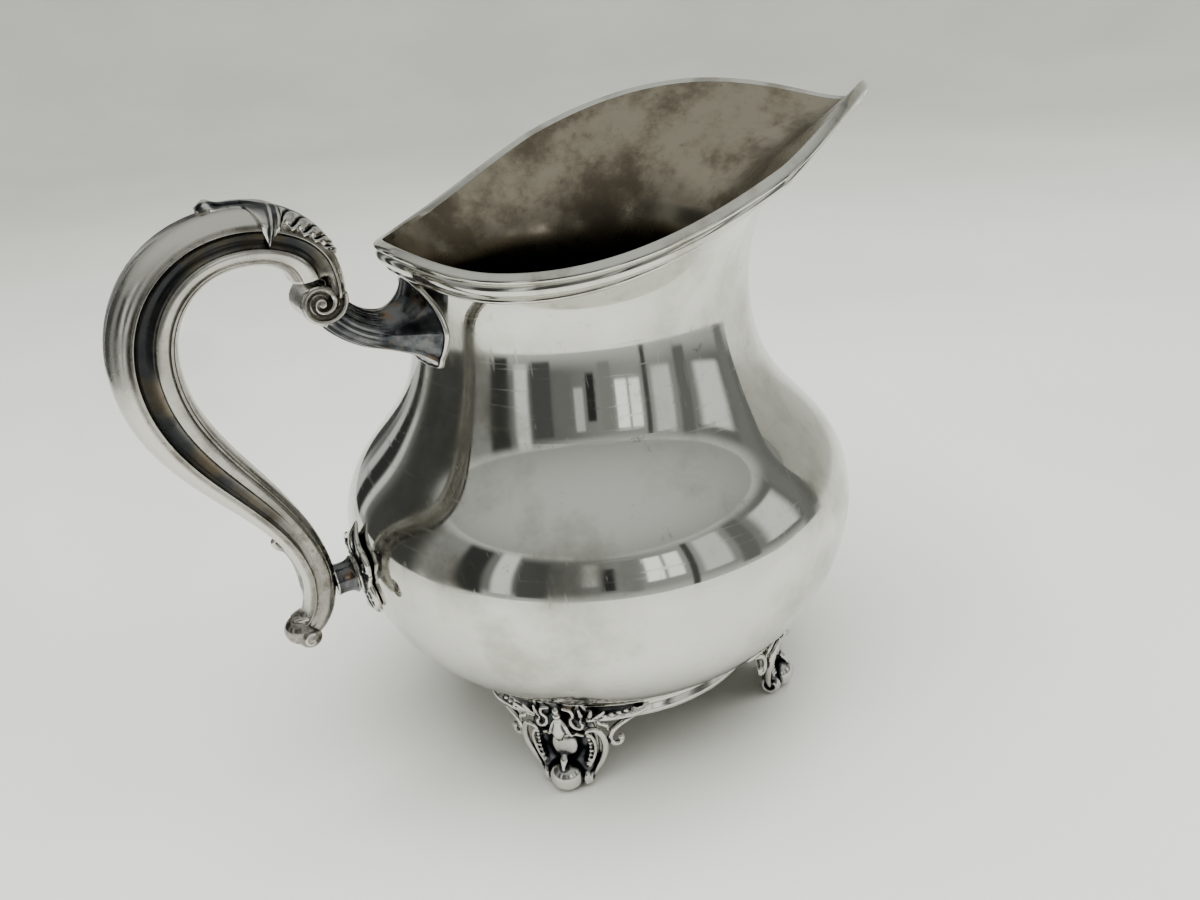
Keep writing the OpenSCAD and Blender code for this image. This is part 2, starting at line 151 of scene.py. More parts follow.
def body_line(angle):
    """The outside of the whole body at a share of the rim, from the bowl's bottom edge up."""
    low_end = math.asin((belly_z - bowl_floor_z) / belly_drop)
    a = np.linspace(low_end, 0, 200)
    low_r = belly_core + (belly_r - belly_core) * np.cos(a)
    low = np.stack([low_r, belly_z - belly_drop * np.sin(a)], axis=1)
    t = np.linspace(0, 1, 200)
    waist = [[belly_r, belly_z], [belly_r, belly_z + 28.4], [neck_r, neck_z - 43.8], [neck_r, neck_z]]
    high = cubic(waist, t)
    top = cubic(flare_curve(angle), t)
    return melted(np.concatenate([low, high[1:], top[1:]]), easing)


def cut_at(line, z):
    """A rising line parted at a height: the share below and the share above."""
    k = int(np.argmax(line[:, 1] > z))
    t = (z - line[k - 1, 1]) / (line[k, 1] - line[k - 1, 1])
    p = line[k - 1] + t * (line[k] - line[k - 1])
    return np.concatenate([line[:k], [p]]), np.concatenate([[p], line[k:]])


def skin(name, grid, close_rows=False, close_cols=True, sharp=35.0, weld=1e-6):
    """A mesh over a grid of points in mm. Rows or columns that close are joined to their
    start, and points that fall together, as at a pole, are welded."""
    grid = np.asarray(grid, float)
    n, m = grid.shape[:2]
    rows, cols = np.arange(n if close_rows else n - 1), np.arange(m if close_cols else m - 1)
    i, j = np.meshgrid(rows, cols, indexing="ij")
    i2, j2 = (i + 1) % n, (j + 1) % m
    quads = np.stack([i * m + j, i * m + j2, i2 * m + j2, i2 * m + j], axis=-1).reshape(-1, 4)
    mesh = bpy.data.meshes.new(name)
    mesh.from_pydata((grid.reshape(-1, 3) * mm).tolist(), [], quads.tolist())
    return finish_mesh(name, mesh, sharp, weld)


def finish_mesh(name, mesh, sharp, weld=None):
    """Weld, turn the faces outwards, shade smooth apart from real corners, and place."""
    work = bmesh.new()
    work.from_mesh(mesh)
    if weld:
        bmesh.ops.remove_doubles(work, verts=work.verts, dist=weld)
        loose = [v for v in work.verts if not v.link_faces]
        bmesh.ops.delete(work, geom=loose, context="VERTS")
    bmesh.ops.recalc_face_normals(work, faces=work.faces)
    work.to_mesh(mesh)
    work.free()
    mesh.polygons.foreach_set("use_smooth", [True] * len(mesh.polygons))
    mesh.set_sharp_from_angle(angle=math.radians(sharp))
    piece = bpy.data.objects.new(name, mesh)
    bpy.context.scene.collection.objects.link(piece)
    return piece


def linear(hex_colour):
    """An sRGB hex colour as linear RGBA."""
    parts = [int(hex_colour[k:k + 2], 16) / 255 for k in (1, 3, 5)]
    return tuple(c / 12.92 if c <= 0.04045 else ((c + 0.055) / 1.055) ** 2.4 for c in parts) + (1.0,)


def add(tree, kind, settings=None, **links):
    """Add one node. Settings set its properties or sockets by name, and links join
    its inputs, named with _ for a space, to other nodes' outputs."""
    node = tree.nodes.new(kind)
    for key, value in (settings or {}).items():
        if isinstance(key, str) and hasattr(node, key):
            setattr(node, key, value)
        else:
            node.inputs[key].default_value = value
    for key, source in links.items():
        target = int(key[1:]) if key[0] == "i" and key[1:].isdigit() else key.replace("_", " ")
        tree.links.new(source, node.inputs[target])
    return node


def blank(name):
    """A new material with only its output and shader."""
    made = bpy.data.materials.new(name)
    made.use_nodes = True
    made.node_tree.nodes.clear()
    out = add(made.node_tree, "ShaderNodeOutputMaterial")
    shader = add(made.node_tree, "ShaderNodeBsdfPrincipled")
    made.node_tree.links.new(shader.outputs[0], out.inputs[0])
    return made, made.node_tree, shader


def mixed(tree, share, a, b):
    """A colour that goes from a to b. Either is a hex colour or a node's output."""
    node = add(tree, "ShaderNodeMix", {"data_type": "RGBA"})
    tree.links.new(share, node.inputs[0])
    for socket, value in ((node.inputs[6], a), (node.inputs[7], b)):
        if isinstance(value, str):
            socket.default_value = linear(value)
        else:
            tree.links.new(value, socket)
    return node.outputs[2]


def ranged(tree, value, low, high, out_low=0.0, out_high=1.0):
    """A value brought from low..high to out_low..out_high, held at its ends."""
    node = add(tree, "ShaderNodeMapRange", {
        "interpolation_type": "SMOOTHSTEP", 1: low, 2: high, 3: out_low, 4: out_high})
    tree.links.new(value, node.inputs[0])
    return node.outputs[0]


def cloud(tree, place, size, detail=3.0, rough=0.55, stretch=None):
    """Soft irregular patches of about size mm across, stretched along an axis if asked."""
    if stretch:
        place = add(tree, "ShaderNodeMapping", {"Scale": stretch}, Vector=place).outputs[0]
    node = add(tree, "ShaderNodeTexNoise", {"Scale": 1 / (size * mm), "Detail": detail, "Roughness": rough},
               Vector=place)
    return node.outputs[0]


def polished_silver_plate():
    """Silver plate polished on a mop and used for years. The eye gets a bright mirror
    with a slow ripple of the hand, a thin warm haze in patches and hair scratches."""
    made, tree, shader = blank("polished_silver_plate")
    place = add(tree, "ShaderNodeTexCoord").outputs["Object"]
    haze = ranged(tree, cloud(tree, place, 34, 5.0, 0.62), 0.46, 0.74)
    spots = ranged(tree, cloud(tree, place, 5.5, 6.0, 0.7), 0.60, 0.78)
    clean = mixed(tree, haze, "#dadad5", "#b4b4ab")
    shader_colour = mixed(tree, ranged(tree, spots, 0, 1, 0, 0.45), clean, "#77776f")
    tree.links.new(shader_colour, shader.inputs["Base Color"])
    shader.inputs["Metallic"].default_value = 1.0
    # Polish is finest where the haze is thin; scratches are drawn 0.15 mm wide, wider
    # than real ones, so that they show
    scratch_a = cloud(tree, place, 1.1, 2.0, 0.5, (0.05, 0.05, 1.0))
    scratch_b = cloud(tree, place, 0.9, 2.0, 0.5, (1.0, 0.35, 0.06))
    hair = add(tree, "ShaderNodeMath", {"operation": "MAXIMUM"}, i0=ranged(tree, scratch_a, 0.60, 0.72),
               i1=ranged(tree, scratch_b, 0.62, 0.74)).outputs[0]
    soft = add(tree, "ShaderNodeMath", {"operation": "MULTIPLY_ADD", 1: 0.13, 2: 0.055}, i0=haze).outputs[0]
    gloss = add(tree, "ShaderNodeMath", {"operation": "MULTIPLY_ADD", 1: 0.10}, i0=hair, i2=soft).outputs[0]
    tree.links.new(gloss, shader.inputs["Roughness"])
    ripple = add(tree, "ShaderNodeBump", {"Strength": 1.0, "Distance": 0.10 * mm},
                 Height=cloud(tree, place, 26, 1.5, 0.4)).outputs[0]
    marks = add(tree, "ShaderNodeBump", {"Strength": 0.35, "Distance": 0.004 * mm}, Height=hair,
                Normal=ripple).outputs[0]
    tree.links.new(marks, shader.inputs["Normal"])
    return made


def tarnished_silver_inside():
    """The same plate where no cloth reaches: inside the body. The eye gets a duller
    warm grey-brown with dark blotches and water marks, and only soft reflections."""
    made, tree, shader = blank("tarnished_silver_inside")
    place = add(tree, "ShaderNodeTexCoord").outputs["Object"]
    blotch = ranged(tree, cloud(tree, place, 24, 6.0, 0.66), 0.40, 0.66)
    dots = ranged(tree, cloud(tree, place, 4.0, 5.0, 0.7), 0.58, 0.76)
    height = add(tree, "ShaderNodeSeparateXYZ", Vector=place).outputs[2]
    # Darker below 120 mm, down in the bowl
    deep = ranged(tree, height, 0.165, 0.120)
    upper = mixed(tree, blotch, "#a6a092", "#776f62")
    upper = mixed(tree, ranged(tree, dots, 0, 1, 0, 0.45), upper, "#4a4842")
    tree.links.new(mixed(tree, deep, upper, "#57534b"), shader.inputs["Base Color"])
    shader.inputs["Metallic"].default_value = 1.0
    tree.links.new(ranged(tree, blotch, 0, 1, 0.20, 0.34), shader.inputs["Roughness"])
    grain = add(tree, "ShaderNodeBump", {"Strength": 0.5, "Distance": 0.02 * mm},
                Height=cloud(tree, place, 2.2, 3.0, 0.6)).outputs[0]
    tree.links.new(grain, shader.inputs["Normal"])
    return made


silver_plate = polished_silver_plate()
silver_inside = tarnished_silver_inside()


def plate_both(piece, inner_test):
    """Polished plate outside, tarnished plate on the faces that inner_test picks."""
    piece.data.materials.append(silver_plate)
    piece.data.materials.append(silver_inside)
    for face in piece.data.polygons:
        face.material_index = 1 if inner_test(face) else 0


def faces_axis(face):
    """True for a face that looks inwards, to the body's axis."""
    return face.normal.x * face.center.x + face.normal.y * face.center.y < -1e-9


def turned(line, count):
    """A line of radius and height taken round the body's axis, with rows by angle."""
    a = np.linspace(0, 2 * math.pi, count, endpoint=False)
    return np.stack([np.outer(np.cos(a), line[:, 0]), np.outer(np.sin(a), line[:, 0]),
                     np.outer(np.ones(count), line[:, 1])], axis=-1)


def seam_rows(line, at_end, count):
    """Even points with one more 0.08 mm from the seam, so both sides shade alike there."""
    even = spaced(line, count=count)
    if at_end:
        near = even[-1] + (even[-2] - even[-1]) * 0.08 / np.linalg.norm(even[-2] - even[-1])
        return np.concatenate([even[:-1], [near], even[-1:]])
    near = even[0] + (even[1] - even[0]) * 0.08 / np.linalg.norm(even[1] - even[0])
    return np.concatenate([even[:1], [near], even[1:]])


side, _ = cut_at(body_line(math.pi / 2), seam_z)
outer = seam_rows(side, True, 110)
inner = outer - wall * outward(outer)
inner = inner[inner[:, 1] > bowl_floor_z + wall + 0.4]
under = np.array([[r, bowl_floor_z] for r in (0, 20, 40, outer[0, 0] - 0.8)])
over = np.array([[r, bowl_floor_z + wall] for r in (inner[0, 0] - 1.0, 30, 0)])
bowl_wall = np.concatenate([under, outer, inner[::-1], over])
bowl = skin("bowl_shell", turned(bowl_wall, 300), close_rows=True, close_cols=False)
plate_both(bowl, lambda f: faces_axis(f) or (f.normal.z > 0.9 and f.center.z < 0.04))
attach(bowl, "root")
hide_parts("bowl")


# ---- Neck and spout -------------------------------------------------------------
# The upper body: a second sheet raised to a waisted neck and drawn out to a wide
# pouring spout. Polished outside, tarnished inside, soldered to the bowl.


def stood_at(heading, line):
    """A line of radius and height stood up round the axis, at a heading."""
    return np.stack([line[:, 0] * math.cos(heading), line[:, 0] * math.sin(heading), line[:, 1]], axis=1)


around = 384
rim_angles = np.linspace(0, 2 * math.pi, around, endpoint=False)
upper_lines = [cut_at(body_line(a), seam_z + 0.01)[1] for a in rim_angles]
rows = []
for a, line in zip(rim_angles, upper_lines):
    x, y = rim_plan(a)
    heading = math.atan2(y, x)
    out_line = seam_rows(line, False, 84)
    in_line = out_line - wall * outward(out_line)
    loop = np.concatenate([out_line, in_line[::-1]])
    rows.append(stood_at(heading, loop))
neck = skin("neck_and_spout", rows, close_rows=True, close_cols=True)
plate_both(neck, lambda f: faces_axis(f) and f.center.z > 0.1185)
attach(neck, "root")
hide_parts("neck_spout")


# ---- Rim moulding ----------------------------------------------------------------
# A drawn wire of silver-plated nickel: a flat lip, a wide reed and a fine bead with
# dark grooves between. It caps the sheet's edge and tapers towards the spout's tip.

lip_section = np.array([  # [distance down the wall, height off it], mm at full size
    [1.9, -1.33], [1.2, -1.46], [0.5, -1.58], [-0.05, -1.62], [-0.42, -1.40], [-0.58, -0.95],
    [-0.62, -0.3], [-0.62, 0.4], [-0.55, 1.0], [-0.30, 1.45], [0.10, 1.66], [0.55, 1.62], [0.85, 1.36],
    [1.02, 0.98], [1.16, 0.86], [1.30, 1.10], [1.55, 1.62], [2.0, 2.10], [2.6, 2.42], [3.2, 2.56],
    [3.8, 2.55], [4.4, 2.40], [5.0, 2.08], [5.45, 1.60], [5.72, 1.02], [5.86, 0.66], [6.02, 0.60],
    [6.2, 0.86], [6.45, 1.28], [6.8, 1.56], [7.15, 1.60], [7.5, 1.44], [7.8, 1.08], [8.02, 0.62],
    [8.2, 0.30], [8.5, 0.10], [8.9, 0.02], [6.0, 0.02], [3.0, 0.02], [0.0, 0.02], [-0.02, -0.4],
    [-0.02, -1.0], [0.0, -1.32], [1.0, -1.32]])


def rounded_through(points, parts):
    """More points on a closed line, on a curve through the given ones."""
    p = np.asarray(points, float)
    t = np.linspace(0, 1, parts, endpoint=False)[None, :, None]
    a, b, c, d = (np.roll(p, s, axis=0)[:, None, :] for s in (1, 0, -1, -2))
    q = 0.5 * (2 * b + (c - a) * t + (2 * a - 5 * b + 4 * c - d) * t ** 2 + (3 * b - a - 3 * c + d) * t ** 3)
    return q.reshape(-1, p.shape[1])


front_share = 0.62
fine_section = np.concatenate([rounded_through(lip_section, 2)[:73], lip_section[37:]])
rows = []
for a, line in zip(rim_angles, upper_lines):
    x, y = rim_plan(a)
    heading = math.atan2(y, x)
    share = 1 + (front_share - 1) * ((1 + math.cos(a)) / 2) ** 6
    down = line[::-1][:40]
    run = np.concatenate([[0], np.cumsum(np.linalg.norm(np.diff(down, axis=0), axis=1))])
    off = -outward(down)
    s = fine_section[:, 0] * np.where(fine_section[:, 0] > 0, share, 1.0)
    h = np.where(fine_section[:, 1] > 0, fine_section[:, 1] * share, fine_section[:, 1])
    up = (down[0] - down[1]) / np.linalg.norm(down[0] - down[1])
    past_rim = np.minimum(s, 0)[:, None] * -up[None]
    base = np.stack([np.interp(s, run, down[:, k]) for k in range(2)], axis=1) + past_rim
    nrm = np.stack([np.interp(s, run, off[:, k]) for k in range(2)], axis=1)
    p = base + h[:, None] * nrm
    rows.append(stood_at(heading, p))
rim = skin("rim_moulding_wire", rows, close_rows=True, close_cols=True, sharp=60)


def adjacency(mesh):
    """Both ends of every edge, and how many edges meet at each point."""
    ends = np.empty(len(mesh.edges) * 2, np.int64)
    mesh.edges.foreach_get("vertices", ends)
    ends = ends.reshape(-1, 2)
    return ends, np.maximum(np.bincount(ends.ravel(), minlength=len(mesh.vertices)), 1)[:, None]


def mean_of_neighbours(values, ends, count):
    """For every point, the mean of the values at the points it shares an edge with."""
    total = np.zeros_like(values)
    for k in range(values.shape[1]):
        total[:, k] = (np.bincount(ends[:, 0], values[ends[:, 1], k], len(values))
                       + np.bincount(ends[:, 1], values[ends[:, 0], k], len(values)))
    return total / count


def points_of(mesh):
    """A mesh's points as an array, in metres."""
    flat = np.empty(len(mesh.vertices) * 3)
    mesh.vertices.foreach_get("co", flat)
    return flat.reshape(-1, 3)


def mark_hollows(piece, reach, full, broad=0.0):
    """Write how deep each point lies in a hollow, as 0 to 1, and the same for ridges.
    A hollow is full mm deep at 1, seen against the surface smoothed over reach steps.
    With broad given, wide recesses that are broad mm deep count as well, a painted
    shade like occlusion, and wide rounded parts add to the ridges, a painted light."""
    mesh = piece.data
    ends, count = adjacency(mesh)
    co = points_of(mesh)
    normals = np.empty(len(mesh.vertices) * 3)
    mesh.vertex_normals.foreach_get("vector", normals)
    normals = normals.reshape(-1, 3)
    flat = co
    for _ in range(reach):
        flat = mean_of_neighbours(flat, ends, count)
    depth = ((flat - co) * normals).sum(axis=1, keepdims=True) / (full * mm)
    for _ in range(3):
        depth = 0.5 * depth + 0.5 * mean_of_neighbours(depth, ends, count)
    hollow, ridge = np.clip(depth, 0, 1), np.clip(-depth, 0, 1)
    # The broad term paints shade into wide recesses and light onto wide rounded parts
    if broad:
        for _ in range(reach * 6):
            flat = mean_of_neighbours(flat, ends, count)
        wide = ((flat - co) * normals).sum(axis=1, keepdims=True) / (broad * mm)
        for _ in range(6):
            wide = 0.5 * wide + 0.5 * mean_of_neighbours(wide, ends, count)
        hollow = np.clip(hollow + np.clip(wide, 0, 1) - 0.5 * ridge, 0, 1)
        ridge = np.clip(ridge + 0.55 * np.clip(-wide, 0, 1), 0, 1)
    for name, value in (("hollow", hollow), ("ridge", ridge)):
        layer = mesh.attributes.new(name, "FLOAT", "POINT")
        layer.data.foreach_set("value", value[:, 0].astype(np.float32))


def worn_wire_silver():
    """Polished plate on drawn mouldings. The eye gets bright reeds, and black sulphide
    left in the grooves between them where polish never reaches."""
    made, tree, shader = blank("polished_silver_moulding")
    place = add(tree, "ShaderNodeTexCoord").outputs["Object"]
    hollow = add(tree, "ShaderNodeAttribute", {"attribute_name": "hollow"}).outputs["Fac"]
    haze = ranged(tree, cloud(tree, place, 18, 4.0, 0.6), 0.45, 0.72)
    bright = mixed(tree, haze, "#d6d6d0", "#aaa89e")
    tree.links.new(mixed(tree, ranged(tree, hollow, 0.15, 0.75), bright, "#1e1f22"),
                   shader.inputs["Base Color"])
    shader.inputs["Metallic"].default_value = 1.0
    tree.links.new(ranged(tree, hollow, 0.1, 0.8, 0.10, 0.38), shader.inputs["Roughness"])
    nicks = add(tree, "ShaderNodeBump", {"Strength": 0.5, "Distance": 0.03 * mm},
                Height=cloud(tree, place, 2.5, 3.0, 0.6)).outputs[0]
    tree.links.new(nicks, shader.inputs["Normal"])
    return made


wire_silver = worn_wire_silver()
mark_hollows(rim, 5, 0.22)
rim.data.materials.append(wire_silver)
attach(rim, "root")
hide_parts("rim_moulding")


# ---- Foot ring --------------------------------------------------------------------
# A low spun band soldered under the bowl, smooth and polished, with a rounded lower
# edge and a soft waist. It ties the four feet together.

ring_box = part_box("foot_ring")
ring_out, ring_low = round(ring_box[1].x / mm, 1), round(ring_box[0].z / mm, 1)
ring_line = np.array([ring_out, ring_low]) + np.array([  # [outwards, up] from the lower outer edge
    [-3.2, 8.9], [-3.2, 4.0], [-3.2, 0.9], [-2.8, 0.25], [-2.0, 0], [-0.9, 0], [-0.2, 0.25], [0, 0.9],
    [-0.1, 1.8], [-0.7, 2.7], [-1.15, 3.6], [-1.25, 4.8], [-1.15, 6.2], [-0.9, 7.4], [-0.6, 8.9],
    [-1.9, 8.9]])
ring = skin("foot_ring_band", turned(rounded_through(ring_line, 4), 256), close_rows=True, close_cols=True)
mark_hollows(ring, 5, 0.3)
ring.data.materials.append(wire_silver)
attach(ring, "root")
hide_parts("foot_ring")


# ---- Feet --------------------------------------------------------------------------
# Four feet cast in one mould: a bellflower between leafy wings, a leg framed by two
# beaded C-scrolls, and a round toe with a volute on each side. Soldered to the ring.


def smooth_path(points, count):
    """A curve through a few points, evenly sampled."""
    p = np.asarray(points, float)
    p = np.concatenate([[2 * p[0] - p[1]], p, [2 * p[-1] - p[-2]]])
    out = []
    for k in range(1, len(p) - 2):
        t = np.linspace(0, 1, 16, endpoint=False)[:, None]
        a, b, c, d = p[k - 1], p[k], p[k + 1], p[k + 2]
        out.append(0.5 * (2 * b + (c - a) * t + (2 * a - 5 * b + 4 * c - d) * t ** 2
                          + (3 * b - a - 3 * c + d) * t ** 3))
    out.append(p[-2][None])
    return spaced(np.concatenate(out), count=count)


def rod(path, radii, sides=12, count=40, across=(1.0, 0.0, 0.0)):
    """A closed rod with domed ends along a curve through the points, its radius going
    through radii. Its first side lies square to the direction across."""
    line = smooth_path(path, count)
    r = np.interp(np.linspace(0, 1, count), np.linspace(0, 1, len(radii)), radii)
    way = np.gradient(line, axis=0)
    way /= np.linalg.norm(way, axis=1)[:, None]
    u = np.cross(way, np.asarray(across, float))
    u /= np.maximum(np.linalg.norm(u, axis=1), 1e-6)[:, None]
    v = np.cross(way, u)
    a = np.linspace(0, 2 * math.pi, sides, endpoint=False)
    circle = np.cos(a)[None, :, None] * u[:, None] + np.sin(a)[None, :, None] * v[:, None]
    rings = line[:, None] + r[:, None, None] * circle
    caps = []
    for end, sign in ((0, -1), (-1, 1)):
        for lift, draw in ((0.5, 0.86), (0.86, 0.5), (1.0, 0.02)):
            caps.append(line[end] + sign * lift * r[end] * way[end] + draw * (rings[end] - line[end]))
    return np.concatenate([[caps[2], caps[1], caps[0]], rings, [caps[3], caps[4], caps[5]]])


def pebble(centre, radii, turn=None, count=14):
    """A rounded lump with three radii, turned by a matrix if asked."""
    t, a = np.linspace(0.02, math.pi - 0.02, count), np.linspace(0, 2 * math.pi, count * 2, endpoint=False)
    p = np.stack([np.outer(np.sin(t), np.cos(a)), np.outer(np.sin(t), np.sin(a)),
                  np.outer(np.cos(t), np.ones(len(a)))], axis=-1)
    p = p * np.asarray(radii, float)
    if turn is not None:
        p = p @ np.asarray(turn, float).T
    return p + np.asarray(centre, float)


def leaning(axis, degrees):
    """A turn about an axis, as a matrix."""
    return np.array(Matrix.Rotation(math.radians(degrees), 3, axis))


def coil(centre, start, end, r_start, r_end, lift):
    """Points of a spiral seen from the side, as the line of a scroll that rises by lift."""
    a = np.radians(np.linspace(start, end, max(6, int(abs(end - start) / 30))))
    r = np.linspace(r_start, r_end, len(a))
    spiral = np.stack([r * np.cos(a), np.linspace(0, lift, len(a)), r * np.sin(a)], axis=1)
    return np.asarray(centre, float) + spiral


def cast_together(name, lumps, grain):
    """Melt overlapping closed lumps to one casting, meshed at grain mm. Every lump is
    repeated on the other side of the middle plane."""
    whole = bmesh.new()
    for lump in lumps:
        for flip in (1, -1):
            n, m = lump.shape[:2]
            flat = (lump * np.array([1, flip, 1])).reshape(-1, 3) * mm
            verts = [whole.verts.new(p) for p in flat]
            for i in range(n - 1):
                for j in range(m):
                    here, beside = i * m + j, i * m + (j + 1) % m
                    quad = [verts[k] for k in (here, beside, beside + m, here + m)]
                    whole.faces.new(quad if flip > 0 else quad[::-1])
            for end, order in ((verts[:m], -1), (verts[-m:], 1)):
                whole.faces.new(end[::order] if flip > 0 else end[::-order])
    raw = bpy.data.meshes.new(name + "_raw")
    whole.to_mesh(raw)
    whole.free()
    holder = bpy.data.objects.new(name + "_raw", raw)
    bpy.context.scene.collection.objects.link(holder)
    melt = holder.modifiers.new("melt", "REMESH")
    melt.mode, melt.voxel_size, melt.adaptivity = "VOXEL", grain * mm, 0.0
    done = bpy.data.meshes.new_from_object(holder.evaluated_get(bpy.context.evaluated_depsgraph_get()))
    bpy.data.objects.remove(holder)
    bpy.data.meshes.remove(raw)
    co = points_of(done)
    ends, count = adjacency(done)
    # Smooth the voxel steps away without shrinking the casting
    for _ in range(2):
        co = co + 0.62 * (mean_of_neighbours(co, ends, count) - co)
        co = co - 0.64 * (mean_of_neighbours(co, ends, count) - co)
        co = co + 0.30 * (mean_of_neighbours(co, ends, count) - co)
    done.vertices.foreach_set("co", co.ravel())
    done.name = name
    return done


def cast_silver_oxidised():
    """Cast and plated ornament. The eye gets bright high places, rubbed bright on the fine
    ridges, grey flanks and blue-black in every hollow: sulphide settled in the fine ones,
    and on the feet and the escutcheon painted shade in the wide recesses and painted light
    on the broad rounded parts, with a tea-coloured bloom here and there."""
    made, tree, shader = blank("cast_silver_oxidised")
    place = add(tree, "ShaderNodeTexCoord").outputs["Object"]
    hollow = add(tree, "ShaderNodeAttribute", {"attribute_name": "hollow"}).outputs["Fac"]
    ridge = add(tree, "ShaderNodeAttribute", {"attribute_name": "ridge"}).outputs["Fac"]
    patch = cloud(tree, place, 9, 5.0, 0.62)
    flank = mixed(tree, ranged(tree, patch, 0.38, 0.62), "#77787a", "#3f4246")
    bloom = mixed(tree, ranged(tree, cloud(tree, place, 6, 3.0, 0.5), 0.58, 0.72, 0, 0.55), flank, "#8a6a3a")
    # Ridges lighter: rubbed bright on fine ridges, painted light on broad rounded parts
    raised = mixed(tree, ranged(tree, ridge, 0.12, 0.50), bloom, "#d6d5d0")
    # Hollows blue-black: sulphide in fine grooves, painted shade in the wide recesses
    tree.links.new(mixed(tree, ranged(tree, hollow, 0.04, 0.42), raised, "#0e1115"),
                   shader.inputs["Base Color"])
    shader.inputs["Metallic"].default_value = 1.0
    tree.links.new(ranged(tree, hollow, 0.0, 0.6, 0.16, 0.42), shader.inputs["Roughness"])
    skin_bump = add(tree, "ShaderNodeBump", {"Strength": 0.6, "Distance": 0.05 * mm},
                    Height=cloud(tree, place, 1.6, 3.0, 0.6)).outputs[0]
    tree.links.new(skin_bump, shader.inputs["Normal"])
    return made


ornament_silver = cast_silver_oxidised()

toe_x, toe_z = 58.9, 5.0     # middle of the toe's roll from the body's axis
lumps = []
# The leg: stacked slices, thin behind the ornament and full down to the toe
leg = np.array([  # [height, middle x, half width, half depth]
    [34.5, 61.6, 8.0, 0.9], [31.0, 59.6, 9.5, 1.6], [27.0, 57.6, 10.2, 2.6], [23.5, 56.6, 10.6, 3.2],
    [19.0, 55.9, 11.0, 2.9], [15.0, 55.8, 11.0, 2.7], [11.5, 56.4, 10.4, 2.8], [8.0, 57.2, 8.8, 3.2],
    [5.0, 58.0, 7.2, 3.4], [2.4, 58.6, 6.0, 2.6]])
leg = np.stack([np.interp(np.linspace(0, 9, 44), range(10), leg[:, k]) for k in range(4)], axis=1)
turn = np.linspace(0, 2 * math.pi, 40, endpoint=False)
corner = np.sign(np.cos(turn)) * abs(np.cos(turn)) ** 0.7, np.sign(np.sin(turn)) * abs(np.sin(turn)) ** 0.7
lumps.append(np.stack([leg[:, 1:2] + leg[:, 3:4] * corner[0], leg[:, 2:3] * corner[1],
                       leg[:, 0:1] + 0 * turn[None]], axis=-1))
# The toe: a smooth round knob with its pad, and a narrow volute on each side
lumps.append(pebble([toe_x + 1.3, 0, toe_z + 0.1], [5.3, 5.4, 4.9], count=22))
lumps.append(pebble([toe_x, 0, 1.3], [3.4, 3.6, 1.3]))
lumps.append(pebble([toe_x - 0.6, 6.4, toe_z - 0.8], [3.3, 1.5, 3.5], count=18))
lumps.append(rod(coil([toe_x - 0.6, 7.4, toe_z - 0.8], 100, 560, 3.2, 0.7, 0.5), [0.75, 0.7, 0.5], 10, 60,
                 across=(0, 1, 0)))
# A leaf tip that laps over the knob, and the smooth drop between the two coves
lumps.append(rod([[60.0, 0, 13.8], [61.8, 0, 11.4], [63.3, 0, 9.4]], [0.8, 1.3, 0.4], 14, 30))
lumps.append(pebble([58.6, 0, 16.2], [2.5, 4.4, 5.4], count=24))
lumps.append(rod([[60.6, 1.2, 21.0], [60.4, 3.6, 21.8], [59.6, 6.2, 20.6]], [0.7, 0.8, 0.6], 10, 30))
# The bellflower: two beads and a slender bell with curling petals
lumps.append(pebble([63.9, 0, 33.0], [1.0, 1.05, 1.05], count=10))
lumps.append(pebble([63.4, 0, 30.7], [1.2, 1.3, 1.2], count=10))
lumps.append(rod([[62.8, 0, 29.4], [63.0, 0, 27.0], [63.0, 0, 24.0], [62.4, 0, 21.8]],
                 [0.8, 1.35, 2.0, 1.5], 18, 40))
lumps.append(rod([[62.6, 0.9, 28.6], [62.7, 2.1, 25.6], [62.2, 3.3, 22.6], [61.6, 4.2, 22.4]],
                 [0.45, 0.8, 0.7, 0.4], 10, 34))
# S-lines beside the bell, with a leaf rib on each side of them
lumps.append(rod([[64.0, 2.2, 34.0], [63.6, 4.4, 33.2], [63.0, 4.9, 30.8], [62.2, 3.7, 28.4],
                  [61.8, 4.3, 25.8], [61.4, 6.2, 24.8], [61.2, 7.2, 26.0], [61.3, 6.4, 27.0]],
                 [0.45, 0.62, 0.62, 0.62, 0.66, 0.66, 0.6, 0.4], 8, 70))
lumps.append(rod([[60.8, 6.4, 27.6], [61.8, 7.0, 30.2], [63.4, 7.0, 33.6]], [0.5, 0.85, 0.45], 10, 30))
lumps.append(rod([[60.4, 8.2, 27.8], [61.2, 9.6, 30.0], [62.6, 10.6, 33.0]], [0.5, 0.9, 0.5], 10, 30))
lumps.append(rod([[59.8, 10.4, 28.2], [60.2, 12.4, 29.8], [61.0, 14.2, 32.0]], [0.5, 0.85, 0.45], 10, 30))
# The frame of the leg: a big C-scroll on each side with a beaded inner line
lumps.append(rod([[60.8, 7.8, 22.4], [61.2, 8.6, 24.2], [60.6, 10.6, 24.4], [59.4, 12.2, 21.6],
                  [58.4, 12.8, 17.2], [57.8, 11.9, 12.4], [57.6, 10.0, 8.0], [58.0, 7.9, 4.4]],
                 [0.55, 0.85, 1.05, 1.15, 1.15, 1.1, 1.0, 0.8], 12, 90))
lumps.append(rod([[60.2, 8.8, 21.8], [59.8, 9.8, 19.0], [59.2, 9.8, 15.4], [59.0, 8.9, 11.6],
                  [59.4, 7.4, 8.4]],
                 [0.5, 0.6, 0.6, 0.55, 0.45], 10, 60))
for k in range(8):
    share = k / 7
    lumps.append(pebble([60.0 - 0.9 * math.sin(share * 2.8),
                         8.0 + 0.8 * math.sin(share * 3.0) - 1.2 * share, 21.0 - 11.4 * share],
                        [0.62, 0.62, 0.66], count=8))
